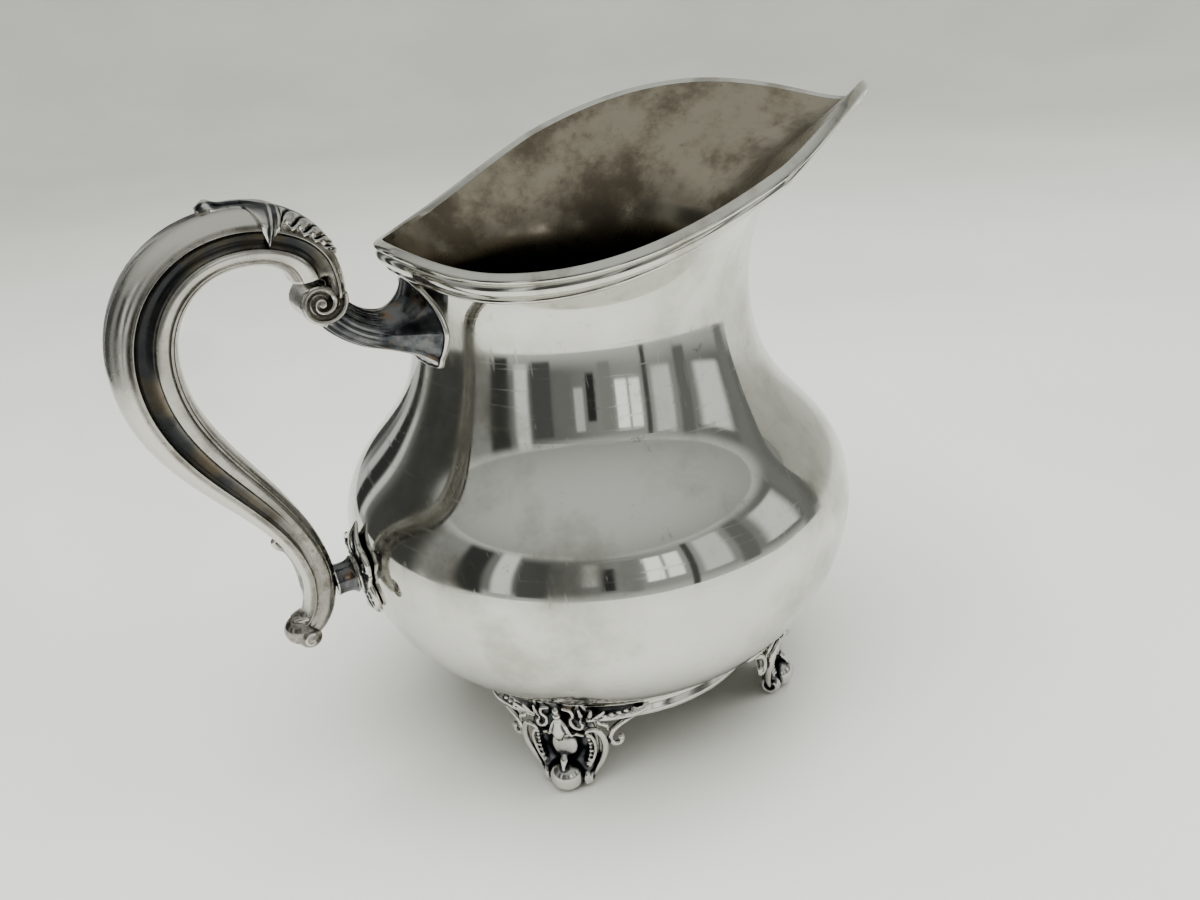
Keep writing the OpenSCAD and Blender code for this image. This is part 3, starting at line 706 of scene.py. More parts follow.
# The wing: a leafy scroll that runs out along the ring, and a hooked scroll under it
lumps.append(rod([[60.0, 8.6, 27.4], [58.8, 12.0, 27.6], [56.9, 16.0, 27.0], [54.4, 20.0, 26.6],
                  [52.0, 23.4, 27.0], [50.8, 25.0, 27.8]],
                 [0.9, 1.15, 1.1, 1.1, 1.5, 0.9], 12, 70))
lumps.append(rod([[53.2, 22.4, 26.0], [55.0, 18.8, 24.6], [56.4, 15.6, 22.2], [56.9, 14.2, 19.0],
                  [56.5, 15.0, 16.4], [55.7, 16.9, 16.4], [55.4, 17.6, 18.0]],
                 [0.55, 0.85, 1.0, 1.05, 1.0, 0.9, 0.8], 12, 80))
lumps.append(pebble([55.6, 17.2, 18.4], [1.1, 1.1, 1.1], count=10))
lumps.append(rod([[59.6, 11.6, 26.2], [58.4, 13.6, 24.6], [57.8, 13.8, 22.4]], [0.6, 0.8, 0.5], 10, 30))
for k in range(6):
    lumps.append(pebble([60.2 - 1.35 * k, 11.4 + 1.95 * k, 28.8 - 0.12 * k], [0.6, 0.95, 0.6], count=8))
# The web behind the wings, which follows the ring and arches between their tips
web = []
for z, r_out, spread in ((33.0, 61.4, 0.24), (31.5, 59.6, 0.34), (29.4, 57.0, 0.43), (27.4, 55.3, 0.45),
                         (25.6, 54.6, 0.41), (23.6, 54.4, 0.33), (21.4, 54.4, 0.27)):
    a = np.linspace(-spread, spread, 30)
    front = np.stack([r_out * np.cos(a), r_out * np.sin(a), a * 0 + z], axis=1)
    back = np.stack([(r_out - 2.6) * np.cos(a[::-1]), (r_out - 2.6) * np.sin(a[::-1]), a * 0 + z], axis=1)
    web.append(np.concatenate([front, back]))
lumps.append(np.array(web))

foot_mesh = cast_together("foot", lumps, 0.30)
foot_points = points_of(foot_mesh)
# The casting is fitted to the bowl and the ring: nothing of it goes through them
radius = np.hypot(foot_points[:, 0], foot_points[:, 1]) / mm
height = foot_points[:, 2] / mm
sine = np.clip((belly_z - height) / belly_drop, 0, 0.96)
bowl_at = belly_core + (belly_r - belly_core) * np.sqrt(1 - sine ** 2)
least = np.where(height > bowl_floor_z, bowl_at + 0.05, 0.0)
least = np.where((height > 20.2) & (height <= bowl_floor_z), 51.6, least)
push = np.maximum(least / np.maximum(radius, 1e-6), 1.0)
foot_points[:, :2] *= push[:, None]
foot_mesh.vertices.foreach_set("co", foot_points.ravel())
for node in ("foot_spout_left", "foot_spout_right", "foot_handle_left", "foot_handle_right"):
    stands = sum(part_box(node), Vector((0, 0, 0)))
    degrees = round(math.degrees(math.atan2(stands.y, stands.x)))
    mesh = foot_mesh.copy()
    mesh.transform(Matrix.Rotation(math.radians(degrees), 4, "Z"))
    foot = finish_mesh(node + "_cast", mesh, 180)
    # broad 1.1 mm paints shade into the foot's wide recesses and light onto its broad rounded parts
    mark_hollows(foot, 12, 0.26, 1.1)
    foot.data.materials.clear()
    foot.data.materials.append(ornament_silver)
    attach(foot, "root")
    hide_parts(node)


# ---- Lower escutcheon ---------------------------------------------------------------
# A cast cartouche soldered to the belly under the handle: rolled scrolls at the sides,
# a leaf point above and a tongue below, round a plain boss for the spigot.

spigot_low, spigot_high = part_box("lower_spigot")
plate_z = round(0.5 * (spigot_low.z + spigot_high.z) / mm, 1)


def belly_skin(z):
    """The belly's outside radius at a height: an ellipse below its widest part, and a
    parabola close to the wall's curve just above it."""
    low = belly_core + (belly_r - belly_core) * np.sqrt(np.clip(1 - ((belly_z - z) / belly_drop) ** 2, 0, 1))
    return np.where(z < belly_z, low, belly_r - 0.0102 * (z - belly_z) ** 2)


def on_belly(points, off=0.0):
    """Take [sideways, up, out] points to the handle side of the belly."""
    p = np.asarray(points, float)
    z = plate_z + p[..., 1]
    r = belly_skin(z) + p[..., 2] + off
    angle = math.pi - p[..., 0] / belly_r
    return np.stack([r * np.cos(angle), r * np.sin(angle), z], axis=-1)


def belly_rod(path, radii, **more):
    """A rod laid on the belly, its points given as [sideways, up, out]."""
    return rod(on_belly(path, -0.45), radii, across=(0.3, 0.0, 1.0), **more)


outline = np.array([[0, 16.0], [1.6, 13.4], [3.6, 11.0], [6.4, 9.4], [9.4, 8.2], [10.8, 5.8], [10.3, 3.0],
                    [9.2, 1.2], [9.2, -1.2], [10.3, -3.2], [10.8, -6.0], [9.4, -8.6], [6.8, -9.6],
                    [4.6, -10.6], [3.0, -13.0], [0, -15.5]])
outline = np.concatenate([outline, (outline[1:-1] * [-1, 1])[::-1]])
slab = []
for share, out in ((0.90, 0.06), (1.0, 0.2), (1.0, 0.8), (0.96, 1.15), (0.80, 1.2), (0.5, 1.3), (0.2, 1.4)):
    slab.append(on_belly(np.concatenate([outline * share, np.full((len(outline), 1), out)], axis=1)))
lumps = [np.array(slab)]
lumps.append(belly_rod([[0, 16.2, 0.9], [2.0, 12.8, 1.3], [4.6, 10.4, 1.5], [7.6, 9.2, 1.6],
                        [9.9, 7.2, 1.5], [9.8, 4.9, 1.5], [8.2, 4.6, 1.6], [7.8, 5.9, 1.8],
                        [8.6, 6.4, 1.8]],
                       [0.6, 0.75, 0.85, 1.0, 1.1, 1.0, 0.9, 0.75, 0.7],
                        count=90))
lumps.append(belly_rod([[10.1, 2.8, 1.1], [8.9, 0, 1.4], [10.0, -3.0, 1.3], [10.3, -6.2, 1.4],
                        [8.8, -8.3, 1.5], [6.9, -7.4, 1.6], [7.0, -5.8, 1.8],
                        [8.2, -5.6, 1.8]], [0.6, 0.85, 1.0, 1.1, 1.0, 0.9, 0.75, 0.7], count=80))
lumps.append(belly_rod([[7.4, -9.0, 1.2], [5.0, -10.2, 1.3], [3.2, -12.8, 1.2], [0.0, -15.6, 0.9]],
                       [0.75, 0.8, 0.75, 0.6], count=50))
lumps.append(belly_rod([[0, 15.4, 1.1], [0, 12.0, 1.6], [0, 9.4, 1.7], [0, 7.6, 1.5]], [0.7, 1.4, 1.6, 1.1],
                       count=40))
lumps.append(belly_rod([[0, -9.4, 1.4], [0, -11.6, 1.6], [0, -14.0, 1.3]], [1.0, 1.3, 0.7], count=30))
lumps.append(belly_rod([[2.2, 9.6, 1.3], [4.4, 7.6, 1.4], [6.2, 4.6, 1.4], [6.9, 1.2, 1.4],
                        [6.5, -2.4, 1.4], [4.8, -6.2, 1.4], [2.0, -8.8, 1.3], [0, -9.8, 1.3]],
                       [0.45, 0.55, 0.6, 0.6, 0.6, 0.55, 0.5, 0.4], count=80))
for k in range(5):
    a = math.radians(35 - 28 * k)
    lumps.append(pebble(on_belly([8.3 * math.cos(a), 8.3 * math.sin(a) * 0.8, 1.3]), [0.6, 0.6, 0.6],
                        count=8))
boss = [on_belly(np.stack([r * np.cos(turn), r * np.sin(turn), np.full(40, out)], axis=-1))
        for r, out in ((6.2, 0.6), (6.2, 1.8), (5.9, 2.3), (5.3, 2.5), (3.0, 2.5), (0.5, 2.5))]
lumps.append(np.array(boss))
plate_mesh = cast_together("escutcheon", lumps, 0.28)
plate_points = points_of(plate_mesh)
skin_z = plate_points[:, 2] / mm
skin_r = belly_skin(skin_z) + 0.04
push = np.maximum(skin_r * mm / np.hypot(plate_points[:, 0], plate_points[:, 1]), 1.0)
plate_points[:, :2] *= push[:, None]
plate_mesh.vertices.foreach_set("co", plate_points.ravel())
plate = finish_mesh("lower_escutcheon_cast", plate_mesh, 180)
# broad 1.6 mm paints shade into the plate's wide recesses and light onto its broad rounded parts
mark_hollows(plate, 12, 0.22, 1.6)
plate.data.materials.append(ornament_silver)
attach(plate, "root")
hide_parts("lower_escutcheon")


# ---- Lower spigot --------------------------------------------------------------------
# A short turned stub that holds the handle off the belly, flared where it is soldered
# to the plate and to the handle.

spigot_from = round(-spigot_high.x / mm, 1) - 0.3    # sunk a little into the plate
flare_line = np.array([  # [radius, distance from the plate]
    [0.0, 0.0], [5.6, 0.0], [5.75, 0.35], [5.2, 0.9], [4.75, 1.8], [4.6, 3.0], [4.6, 4.2], [4.7, 5.0],
    [4.8, 5.6], [4.8, 6.1], [0.0, 6.1]])
flare = spaced(smooth_path(np.c_[flare_line[1:-1], np.zeros(9)], 60)[:, :2], count=60)
spin = turned(np.concatenate([flare_line[:2], flare, flare_line[-1:]]), 96)
laid = np.stack([-spigot_from - spin[..., 2], spin[..., 1], spin[..., 0] + plate_z], axis=-1)
spigot = skin("lower_spigot_turned", laid, close_rows=True, close_cols=False)
mark_hollows(spigot, 4, 0.3)
spigot.data.materials.append(ornament_silver)
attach(spigot, "root")
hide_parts("lower_spigot")


# ---- Handle halves ---------------------------------------------------------------------
# Two hollow castings, left and right, soldered along the middle plane: a round back, a
# dark cove between ridges on each side, a scroll wound up at the top and a knob below.

scroll_at = np.array([-78.5, 157.0])
grip_w, grip_t = 19.0, 16.5
scroll_w = 14.4                              # width of the handle at its scroll
crown, grip_back, grip_foot = np.array([-96.0, 177.0]), np.array([-124.0, 147.0]), np.array([-95.3, 80.0])
grip_line = [
    [scroll_at + [0.4, -0.5], scroll_at + [2.8, 12.2], crown + [13.2, 0], crown],
    [crown, crown + [-16, 0], grip_back + [0, 17], grip_back],
    [grip_back, grip_back + [0, -27], grip_foot + [-2.7, 26], grip_foot],
    [grip_foot, grip_foot + [0.3, -8], grip_foot + [-1.7, -16], grip_foot + [-6.7, -17.5]]]
grip_sizes = np.array([[13.2, scroll_w], [grip_t * 0.88, grip_w], [grip_t, grip_w * 0.9],
                       [grip_t * 0.58, grip_w * 0.58], [8.4, 8.2]])


def handle_stations():
    """The handle's middle line, outward way, thickness and width, from the scroll to the tail."""
    spots, sizes = [], []
    for q, count in enumerate((90, 60, 84, 40)):
        t = np.linspace(0, 1, count, endpoint=(q == 3))
        grow = ease((t - 0.15) / 0.85) if q == 0 else ease(t)
        spots.extend(cubic(grip_line[q], t))
        sizes.extend(grip_sizes[q] + grow[:, None] * (grip_sizes[q + 1] - grip_sizes[q]))
    spots, sizes = np.array(spots), np.array(sizes)
    for _ in range(6):
        spots[1:-1] = 0.5 * spots[1:-1] + 0.25 * (spots[:-2] + spots[2:])
        sizes[1:-1] = 0.5 * sizes[1:-1] + 0.25 * (sizes[:-2] + sizes[2:])
    way = np.gradient(spots, axis=0)
    out = np.stack([way[:, 1], -way[:, 0]], axis=1)
    return spots, out / np.linalg.norm(out, axis=1)[:, None], sizes


def arcs(corners, parts=7):
    """A line of arcs: each corner is [outwards, sideways, bulge of the arc that follows]."""
    out = []
    for p, q in zip(corners[:-1], corners[1:]):
        a, b = np.array(p[:2]), np.array(q[:2])
        side = np.array([(b - a)[1], -(b - a)[0]])
        t = np.linspace(0, 1, parts, endpoint=False)[:, None]
        out.append(a + (b - a) * t + 4 * p[2] * t * (1 - t) * -side)
    out.append(np.array(corners[-1][:2])[None])
    return np.concatenate(out)


grip_corners = [  # the grip's half section, in shares of thickness and width
    [0.50, 0.0, 0.0], [0.4999, 0.004, -0.20], [0.205, 0.470, -0.16], [0.150, 0.500, 0.0],
    [0.140, 0.470, 0.19], [-0.140, 0.455, -0.06], [-0.165, 0.478, -0.11], [-0.345, 0.450, 0.10],
    [-0.365, 0.425, -0.22], [-0.425, 0.375, 0.0], [-0.432, 0.350, -0.10], [-0.4999, 0.004, 0.0],
    [-0.50, 0.0, 0.0]]
scroll_corners = [  # near the scroll the cove lies further out, against a rounded edge
    [0.50, 0.0, 0.0], [0.4999, 0.004, -0.12], [0.34, 0.470, -0.18], [0.270, 0.500, 0.0],
    [0.255, 0.470, 0.17], [-0.040, 0.450, -0.05], [-0.065, 0.478, -0.13], [-0.345, 0.450, 0.06],
    [-0.365, 0.425, -0.20], [-0.425, 0.375, 0.0], [-0.432, 0.350, -0.10], [-0.4999, 0.004, 0.0],
    [-0.50, 0.0, 0.0]]
tail_corners = [  # the lower end: the coves fade to a plain ridged bar
    [0.50, 0.0, 0.0], [0.4999, 0.004, -0.16], [0.30, 0.400, -0.12], [0.22, 0.450, 0.0],
    [0.20, 0.430, 0.12], [0.00, 0.450, -0.04], [-0.10, 0.470, -0.06], [-0.24, 0.440, 0.0],
    [-0.26, 0.430, -0.10], [-0.36, 0.36, 0.0], [-0.37, 0.350, -0.10], [-0.4999, 0.004, 0.0],
    [-0.50, 0.0, 0.0]]
spots, outs, sizes = handle_stations()
place_on = np.arange(len(spots))
to_grip = ease((place_on - 24) / 44.0)[:, None, None]
to_tail = ease((place_on - 192) / 70.0)[:, None, None]
section = arcs(scroll_corners)[None] * (1 - to_grip) + arcs(grip_corners)[None] * to_grip
section = section * (1 - to_tail) + arcs(tail_corners)[None] * to_tail
# Into the scroll: the inner flank stops short on the scroll's top, then the rest follows
inner_share = ease((0.20 - section[:, :, 0]) / 0.12)
above = np.where(place_on < 60, spots[:, 1] - scroll_at[1], 50.0)
pull_inner = (1 - ease((above - 6.0) / 1.3))[:, None] * inner_share
thinned = 0.1 + (section[:, :, 0] - 0.1) * (1 - 0.85 * (1 - ease((above - 5.8) / 1.4)))[:, None]
section[:, :, 0] = np.where(section[:, :, 0] < 0.1, thinned, section[:, :, 0])
pull_all = (1 - ease((above - 0.3) / 1.6))[:, None]
section[:, :, 1] *= 1 - 0.26 * np.maximum(pull_inner, pull_all)


def handle_surface(flip):
    """The outside of one half, and the flat seam that closes it, row by row."""
    rows = []
    for spot, out, size, part in zip(spots, outs, sizes, section):
        p = spot + out * part[:, :1] * size[0]
        rows.append(np.stack([p[:, 0], flip * part[:, 1] * size[1], p[:, 1]], axis=1))
    return np.array(rows)


def polished_cast_handle():
    """A smooth casting kept bright by the hand. The eye gets soft pewter-grey silver,
    brown and gold tarnish colours in the coves, and black in the sharp corners."""
    made, tree, shader = blank("cast_silver_handled")
    place = add(tree, "ShaderNodeTexCoord").outputs["Object"]
    hollow = add(tree, "ShaderNodeAttribute", {"attribute_name": "hollow"}).outputs["Fac"]
    ridge = add(tree, "ShaderNodeAttribute", {"attribute_name": "ridge"}).outputs["Fac"]
    cove = add(tree, "ShaderNodeAttribute", {"attribute_name": "cove"}).outputs["Fac"]
    haze = ranged(tree, cloud(tree, place, 15, 5.0, 0.62), 0.42, 0.70)
    body = mixed(tree, haze, "#a9a7a1", "#76746d")
    mottle = ranged(tree, cloud(tree, place, 3.2, 6.0, 0.72), 0.46, 0.66)
    body = mixed(tree, ranged(tree, mottle, 0, 1, 0, 0.55), body, "#6a645a")
    shift = cloud(tree, place, 13, 2.0, 0.5)
    gold = mixed(tree, ranged(tree, shift, 0.42, 0.58), "#50565c", "#8f7b52")
    gold = mixed(tree, ranged(tree, shift, 0.58, 0.68), gold, "#5e4542")
    body = mixed(tree, ranged(tree, cove, 0.2, 0.9, 0, 0.62), body, gold)
    body = mixed(tree, ranged(tree, ridge, 0.10, 0.6), body, "#d4d3cd")
    tree.links.new(mixed(tree, ranged(tree, hollow, 0.20, 0.95, 0, 0.80), body, "#202226"),
                   shader.inputs["Base Color"])
    shader.inputs["Metallic"].default_value = 1.0
    rough = ranged(tree, cloud(tree, place, 7, 4.0, 0.6), 0.35, 0.7, 0.16, 0.32)
    tree.links.new(rough, shader.inputs["Roughness"])
    rub = cloud(tree, place, 1.4, 3.0, 0.6, (1.0, 1.0, 0.25))
    rub_bump = add(tree, "ShaderNodeBump", {"Strength": 0.5, "Distance": 0.03 * mm}, Height=rub).outputs[0]
    slow = add(tree, "ShaderNodeBump", {"Strength": 0.8, "Distance": 0.12 * mm},
               Height=cloud(tree, place, 9, 1.5, 0.4), Normal=rub_bump).outputs[0]
    tree.links.new(slow, shader.inputs["Normal"])
    return made


handle_silver = polished_cast_handle()
cove_from, cove_to = 4 * 7 + 1, 5 * 7 - 1    # the cove's points in a section
scroll_edge = np.array([  # [turn in degrees, distance of the ridge's outer edge from the eye's axis]
    [14, 7.3], [0, 7.25], [-45, 6.3], [-90, 5.7], [-180, 5.6], [-270, 5.0], [-346, 4.5], [-405, 3.6],
    [-450, 3.0], [-540, 2.1], [-630, 1.5], [-720, 1.0], [-1100, 0.5]])
scroll_eye = scroll_at + [-0.5, 0.3]
ridge_profile = np.array([  # [share of the way in to the next turn, height], a round ridge then a cove
    [0, -1.10], [0.05, -0.62], [0.13, -0.18], [0.24, 0.0], [0.36, -0.04], [0.46, -0.30], [0.54, -0.90],
    [0.62, -1.55], [0.74, -1.90], [0.86, -1.80], [0.94, -1.50], [1.0, -1.10]])


def edge_at(turn):
    """Distance of the ridge's outer edge from the eye at a turn in degrees."""
    return np.interp(-np.asarray(turn, float), -scroll_edge[:, 0], scroll_edge[:, 1])


def scroll_relief(turn, r):
    """Height of the scroll's face at a turn and a distance from its eye: the ridge winds inwards."""
    outer, inner = edge_at(turn), edge_at(turn - 360)
    deeper = r < inner
    for _ in range(3):
        turn = np.where(deeper, turn - 360, turn)
        outer, inner = edge_at(turn), edge_at(turn - 360)
        deeper = r < inner
    share = np.clip((outer - r) / np.maximum(outer - inner, 0.3), 0, 1)
    depth = np.interp(share, ridge_profile[:, 0], ridge_profile[:, 1])
    depth = depth * np.clip((outer - inner) / 2.6, 0.30, 1)
    boss = ease((1.9 - r) / 1.3)
    return depth * (1 - boss) + boss * (0.15 - 0.06 * r * r)


def close_ends(piece):
    """Fill a mesh's open ends and turn its faces outwards."""
    work = bmesh.new()
    work.from_mesh(piece.data)
    bmesh.ops.holes_fill(work, edges=[e for e in work.edges if e.is_boundary], sides=0)
    bmesh.ops.recalc_face_normals(work, faces=work.faces)
    work.to_mesh(piece.data)
    work.free()


def wound_scroll(name, flip):
    """The scroll that ends one half: a drum with the wound ridge on its face."""
    rows = []
    for turn in np.linspace(14, -346, 240):
        edge = float(edge_at(turn))
        r = np.concatenate([np.linspace(0.02, edge, 110), np.full(14, edge + 0.02)])
        face = scroll_relief(np.full(110, turn), r[:110])
        barrel = np.linspace(face[-1] - 0.35, 0.06 - scroll_w / 2, 14)
        y = flip * (scroll_w / 2 + np.concatenate([face, barrel]))
        a = math.radians(turn)
        r, y = np.append(r, 0.02), np.append(y, flip * 0.06)
        rows.append(np.stack([scroll_eye[0] + r * math.cos(a), y, scroll_eye[1] + r * math.sin(a)], axis=1))
    piece = skin(name, rows, close_rows=True, close_cols=False, sharp=60, weld=None)
    close_ends(piece)
    return piece


def mark_cove(piece, rows, cols):
    """Write where the coves are, strongest at the crown and fading towards the tail."""
    layer = piece.data.attributes.new("cove", "FLOAT", "POINT")
    across = np.zeros(cols)
    mid = (cove_from + cove_to) / 2
    near = np.arange(cove_from - 2, cove_to + 3)
    across[near] = np.clip(1.25 - abs(near - mid) / 4.2, 0, 1)
    k = np.arange(rows)
    along = ease((k - 10) / 30) * (1 - ease((k - 170) / 70))
    layer.data.foreach_set("value", np.outer(along, across).ravel().astype(np.float32))


for node, flip in (("handle_half_left", 1), ("handle_half_right", -1)):
    grid = handle_surface(flip)
    half = skin(node + "_cast", grid, close_cols=True, sharp=42, weld=None)
    close_ends(half)
    half.data.set_sharp_from_angle(angle=math.radians(42))
    mark_hollows(half, 4, 0.15)
    mark_cove(half, grid.shape[0], grid.shape[1])
    half.data.materials.append(handle_silver)
    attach(half, "root")
    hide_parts(node)
    scroll = wound_scroll("handle_scroll_left" if flip > 0 else "handle_scroll_right", flip)
    mark_hollows(scroll, 70, 0.36)
    scroll.data.materials.append(handle_silver)
    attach(scroll, "root")
    if flip > 0:
        # The knob that ends the tail belongs to the left casting, the spur to the right
        knob_lumps = [pebble([-103.4, 0, 62.0], [4.9, 4.7, 4.6], leaning("Y", 20)),
                      pebble([-101.8, 3.2, 60.2], [3.4, 2.6, 3.4], leaning("Y", 20)),
                      rod(coil([-101.8, 5.4, 60.2], 60, 400, 2.2, 0.5, 0.3), [0.55, 0.5, 0.35], 10, 50,
                          across=(0, 1, 0)),
                      rod([[-99.2, 1.8, 65.6], [-101.8, 2.6, 66.2], [-104.8, 1.8, 66.2]], [0.9, 0.9, 0.5],
                          12, 40)]
        end = finish_mesh("handle_tail_knob", cast_together("tail_knob", knob_lumps, 0.25), 180)
    else:
        spur_line = [[-103.8, 0, 93.4], [-104.8, 0, 92.0], [-104.0, 0, 90.5], [-102.0, 0, 88.6],
                     [-100.7, 0, 85.0], [-100.0, 0, 81.0], [-99.7, 0, 75.5], [-99.9, 0, 70.0]]
        spur_lumps = [rod(spur_line, [0.8, 1.05, 1.0, 0.95, 1.0, 1.1, 1.0, 0.8], 14, 90, across=(0, 1, 0))]
        end = finish_mesh("handle_spur", cast_together("tail_spur", spur_lumps, 0.25), 180)
    mark_hollows(end, 8, 0.25)
    end.data.materials.append(handle_silver if flip > 0 else ornament_silver)
    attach(end, "root")


# ---- Thumb leaf ------------------------------------------------------------------------
# A cast acanthus leaf bedded on the handle's crown for the thumb: a rolled tip, a keel, a
# pointed lobe on each side and slanting veins down to the scroll.

leaf_rows, leaf_cols = 220, 61
first, last = 27, 97   # from above the scroll, over the crown
at = np.linspace(first, last, leaf_rows)


def along_handle(values, where):
    """Values of the handle's stations read off at places between them."""
    k = np.arange(len(values))
    return np.stack([np.interp(where, k, values[:, c]) for c in range(values.shape[1])], axis=1)


leaf_spot, leaf_out, leaf_size = (along_handle(v, at) for v in (spots, outs, sizes))
u = np.linspace(0, 1, leaf_rows)[:, None]         # 0 at the scroll end, 1 at the rolled tip
v = np.linspace(-1, 1, leaf_cols)[None]
# How far round the back the leaf reaches, as an angle: narrow tip, side lobe, veined blade
reach = np.interp(at, [27, 31, 38, 49.5, 59, 65, 67.4, 71.8, 76.4, 79.6, 83, 89, 94, 97],
                  [18, 44, 64, 74, 74, 72, 96, 124, 98, 56, 24, 17, 16, 10])
blade = np.clip((at - first) / 40.0, 0, 1)[:, None]      # 0 at the scroll, 1 where the side lobe starts
reach = reach * (1 + 0.09 * np.cos(2 * math.pi * 5 * blade[:, 0]) * (blade[:, 0] < 1) * (blade[:, 0] > 0.05))
phi = np.radians(reach)[:, None] * v
edge = np.abs(v)
lobe_wave = np.abs(np.sin(math.pi * (5 * blade - 1.3 * edge)))
veins = (lobe_wave ** 0.6 - 0.55) * ease((edge - 0.10) / 0.25) * ease(blade / 0.08)
veins = veins * (1 - ease((blade - 0.96) / 0.04))
past = ease((at[:, None] - 66) / 8)
keel = np.exp(-(v / 0.13) ** 2) * (0.35 + 0.5 * past)
lobe_rows = at[:, None]
lobe_crease = np.exp(-((lobe_rows - 71.8) / 0.9) ** 2) * 0.7 + 0.5 * np.exp(-((lobe_rows - 67.6) / 0.8) ** 2)
rolled = 1.3 * np.exp(-((lobe_rows - 94.4) / 1.8) ** 2) * np.exp(-(v / 0.8) ** 2)
lift = 0.75 + 1.25 * veins + keel + rolled + lobe_crease * np.clip(edge * 2, 0, 1)
lift = lift * np.clip((1.0 - edge ** 10), 0.12, 1)


def over_back(angle, off):
    """A point round the handle's back at an angle from its crest, off mm above it."""
    a = np.clip(np.abs(angle), 0, math.pi / 2)
    past = np.maximum(np.abs(angle) - math.pi / 2, 0)
    thick, wide = leaf_size[:, :1], leaf_size[:, 1:]
    back = np.minimum(0.30 * thick, 6.0)
    x = 0.5 * thick - back + back * np.cos(a) - past * 0.55 * thick + off * np.cos(a)
    y = (0.492 * wide + off) * np.sin(a)
    y = np.sign(angle) * y
    p = leaf_spot[:, None, :] + leaf_out[:, None, :] * x[..., None]
    return np.stack([p[..., 0], y, p[..., 1]], axis=-1)


top = over_back(phi, lift)
bed = over_back(phi, -0.5 + 0 * lift)
rows = np.concatenate([top, bed[:, ::-1]], axis=1)
leaf = skin("thumb_leaf_cast", rows, close_cols=True, sharp=70, weld=None)
close_ends(leaf)
mark_hollows(leaf, 7, 0.16)
leaf.data.materials.append(ornament_silver)
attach(leaf, "root")
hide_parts("thumb_leaf")


# ---- Upper bracket -----------------------------------------------------------------------
# A cast stem from under the scroll to the neck. Fine flutes run along it and it opens
# like a trumpet to an oval flange with a moulded edge, soldered to the neck.

flange_z = 143.5     # height of the flange's middle
neck_side = {}
for a, line in zip(rim_angles, upper_lines):
    x, y = rim_plan(a)
    neck_side[math.degrees(math.atan2(y, x)) % 360] = line
neck_headings = np.array(sorted(neck_side))


def neck_radius(heading, z):
    """The neck's outside radius at a heading in degrees and a height."""
    k = int(np.argmin(abs(neck_headings - heading)))
    line = neck_side[neck_headings[k]]
    return float(np.interp(z, line[:, 1], line[:, 0]))


leave = np.array([math.cos(math.radians(-52)), math.sin(math.radians(-52))])
stem_from = scroll_at + 4.6 * leave
stem_curve = [stem_from, stem_from + 8.5 * leave, [-neck_r - 11.5, flange_z + 0.5],
              [-neck_r - 2.0, flange_z + 1.0]]
stem = cubic(stem_curve, np.linspace(0, 1, 70))
stem_way = np.gradient(stem, axis=0)
stem_up = np.stack([-stem_way[:, 1], stem_way[:, 0]], axis=1)
stem_up /= np.linalg.norm(stem_up, axis=1)[:, None]
ring_a = np.linspace(0, 2 * math.pi, 180, endpoint=False)
# The flange's outline round its middle: full at the sides and the top, a pointed lobe low
# on each side and an arch between the two lobes
half_outline = np.array([  # [degrees from straight down, distance from the middle]
    [0, 10.2], [22, 11.0], [40, 13.2], [49, 15.0], [58, 14.2], [75, 14.6], [90, 15.2], [115, 15.0],
    [145, 14.6], [180, 14.6]])
from_bottom = abs((np.degrees(ring_a) + 270) % 360 - 180)
flange_shape = np.interp(from_bottom, half_outline[:, 0], half_outline[:, 1])
rows = []
for k in range(62):
    t = k / 69
    spread = t ** 3.4
    wide = 5.6 + (0.86 * flange_shape - 5.6) * spread
    tall = 4.8 + (0.86 * flange_shape - 4.8) * spread ** 1.15
    flute = 0.32 * (1 - ease((t - 0.42) / 0.28)) * np.abs(np.sin(8 * ring_a)) - 0.12
    grow = 1 + flute / 5.0
    h, w = tall * np.sin(ring_a) * grow, wide * np.cos(ring_a) * grow
    rows.append(np.stack([stem[k, 0] + stem_up[k, 0] * h, w, stem[k, 1] + stem_up[k, 1] * h], axis=1))


def flange_ring(share, off):
    """A ring of the flange on the neck's skin, off mm above it."""
    pts = []
    for a, reach in zip(ring_a, flange_shape):
        y, z = share * reach * math.cos(a), flange_z + 0.5 + share * reach * math.sin(a)
        heading = 180 - math.degrees(math.asin(max(-0.9, min(0.9, y / neck_r))))
        r = neck_radius(heading, z) + off
        pts.append([-math.sqrt(max(r * r - y * y, 1)), y, z])
    return np.array(pts)


last_row = rows[-1]
first_flange = flange_ring(0.93, 0.95)
toward = rows[-1] - rows[-3]
toward /= np.linalg.norm(toward, axis=1)[:, None]
knee = last_row + toward * 0.5 * np.linalg.norm(first_flange - last_row, axis=1)[:, None]
for t in np.linspace(0, 1, 16)[1:-1]:
    rows.append((1 - t) ** 2 * last_row + 2 * t * (1 - t) * knee + t * t * first_flange)
for share, off in ((0.93, 0.95), (0.945, 0.70), (0.955, 0.62), (0.965, 0.72), (0.98, 0.88), (1.0, 0.86),
                   (1.012, 0.66), (1.018, 0.40), (1.02, 0.06), (0.9, 0.04), (0.6, 0.04), (0.3, 0.04),
                   (0.01, 0.04)):
    rows.append(flange_ring(share, off))
bracket = skin("upper_bracket_cast", rows, close_cols=True, sharp=50, weld=None)
close_ends(bracket)
mark_hollows(bracket, 5, 0.20)
bracket.data.materials.append(ornament_silver)
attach(bracket, "root")
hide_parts("upper_bracket")


# ---- Table and light ----------------------------------------------------------------------
# A plain pale table top and soft studio lights. A board of soft rectangles behind the
# camera gives the mirror something to draw, and shows only in reflections.


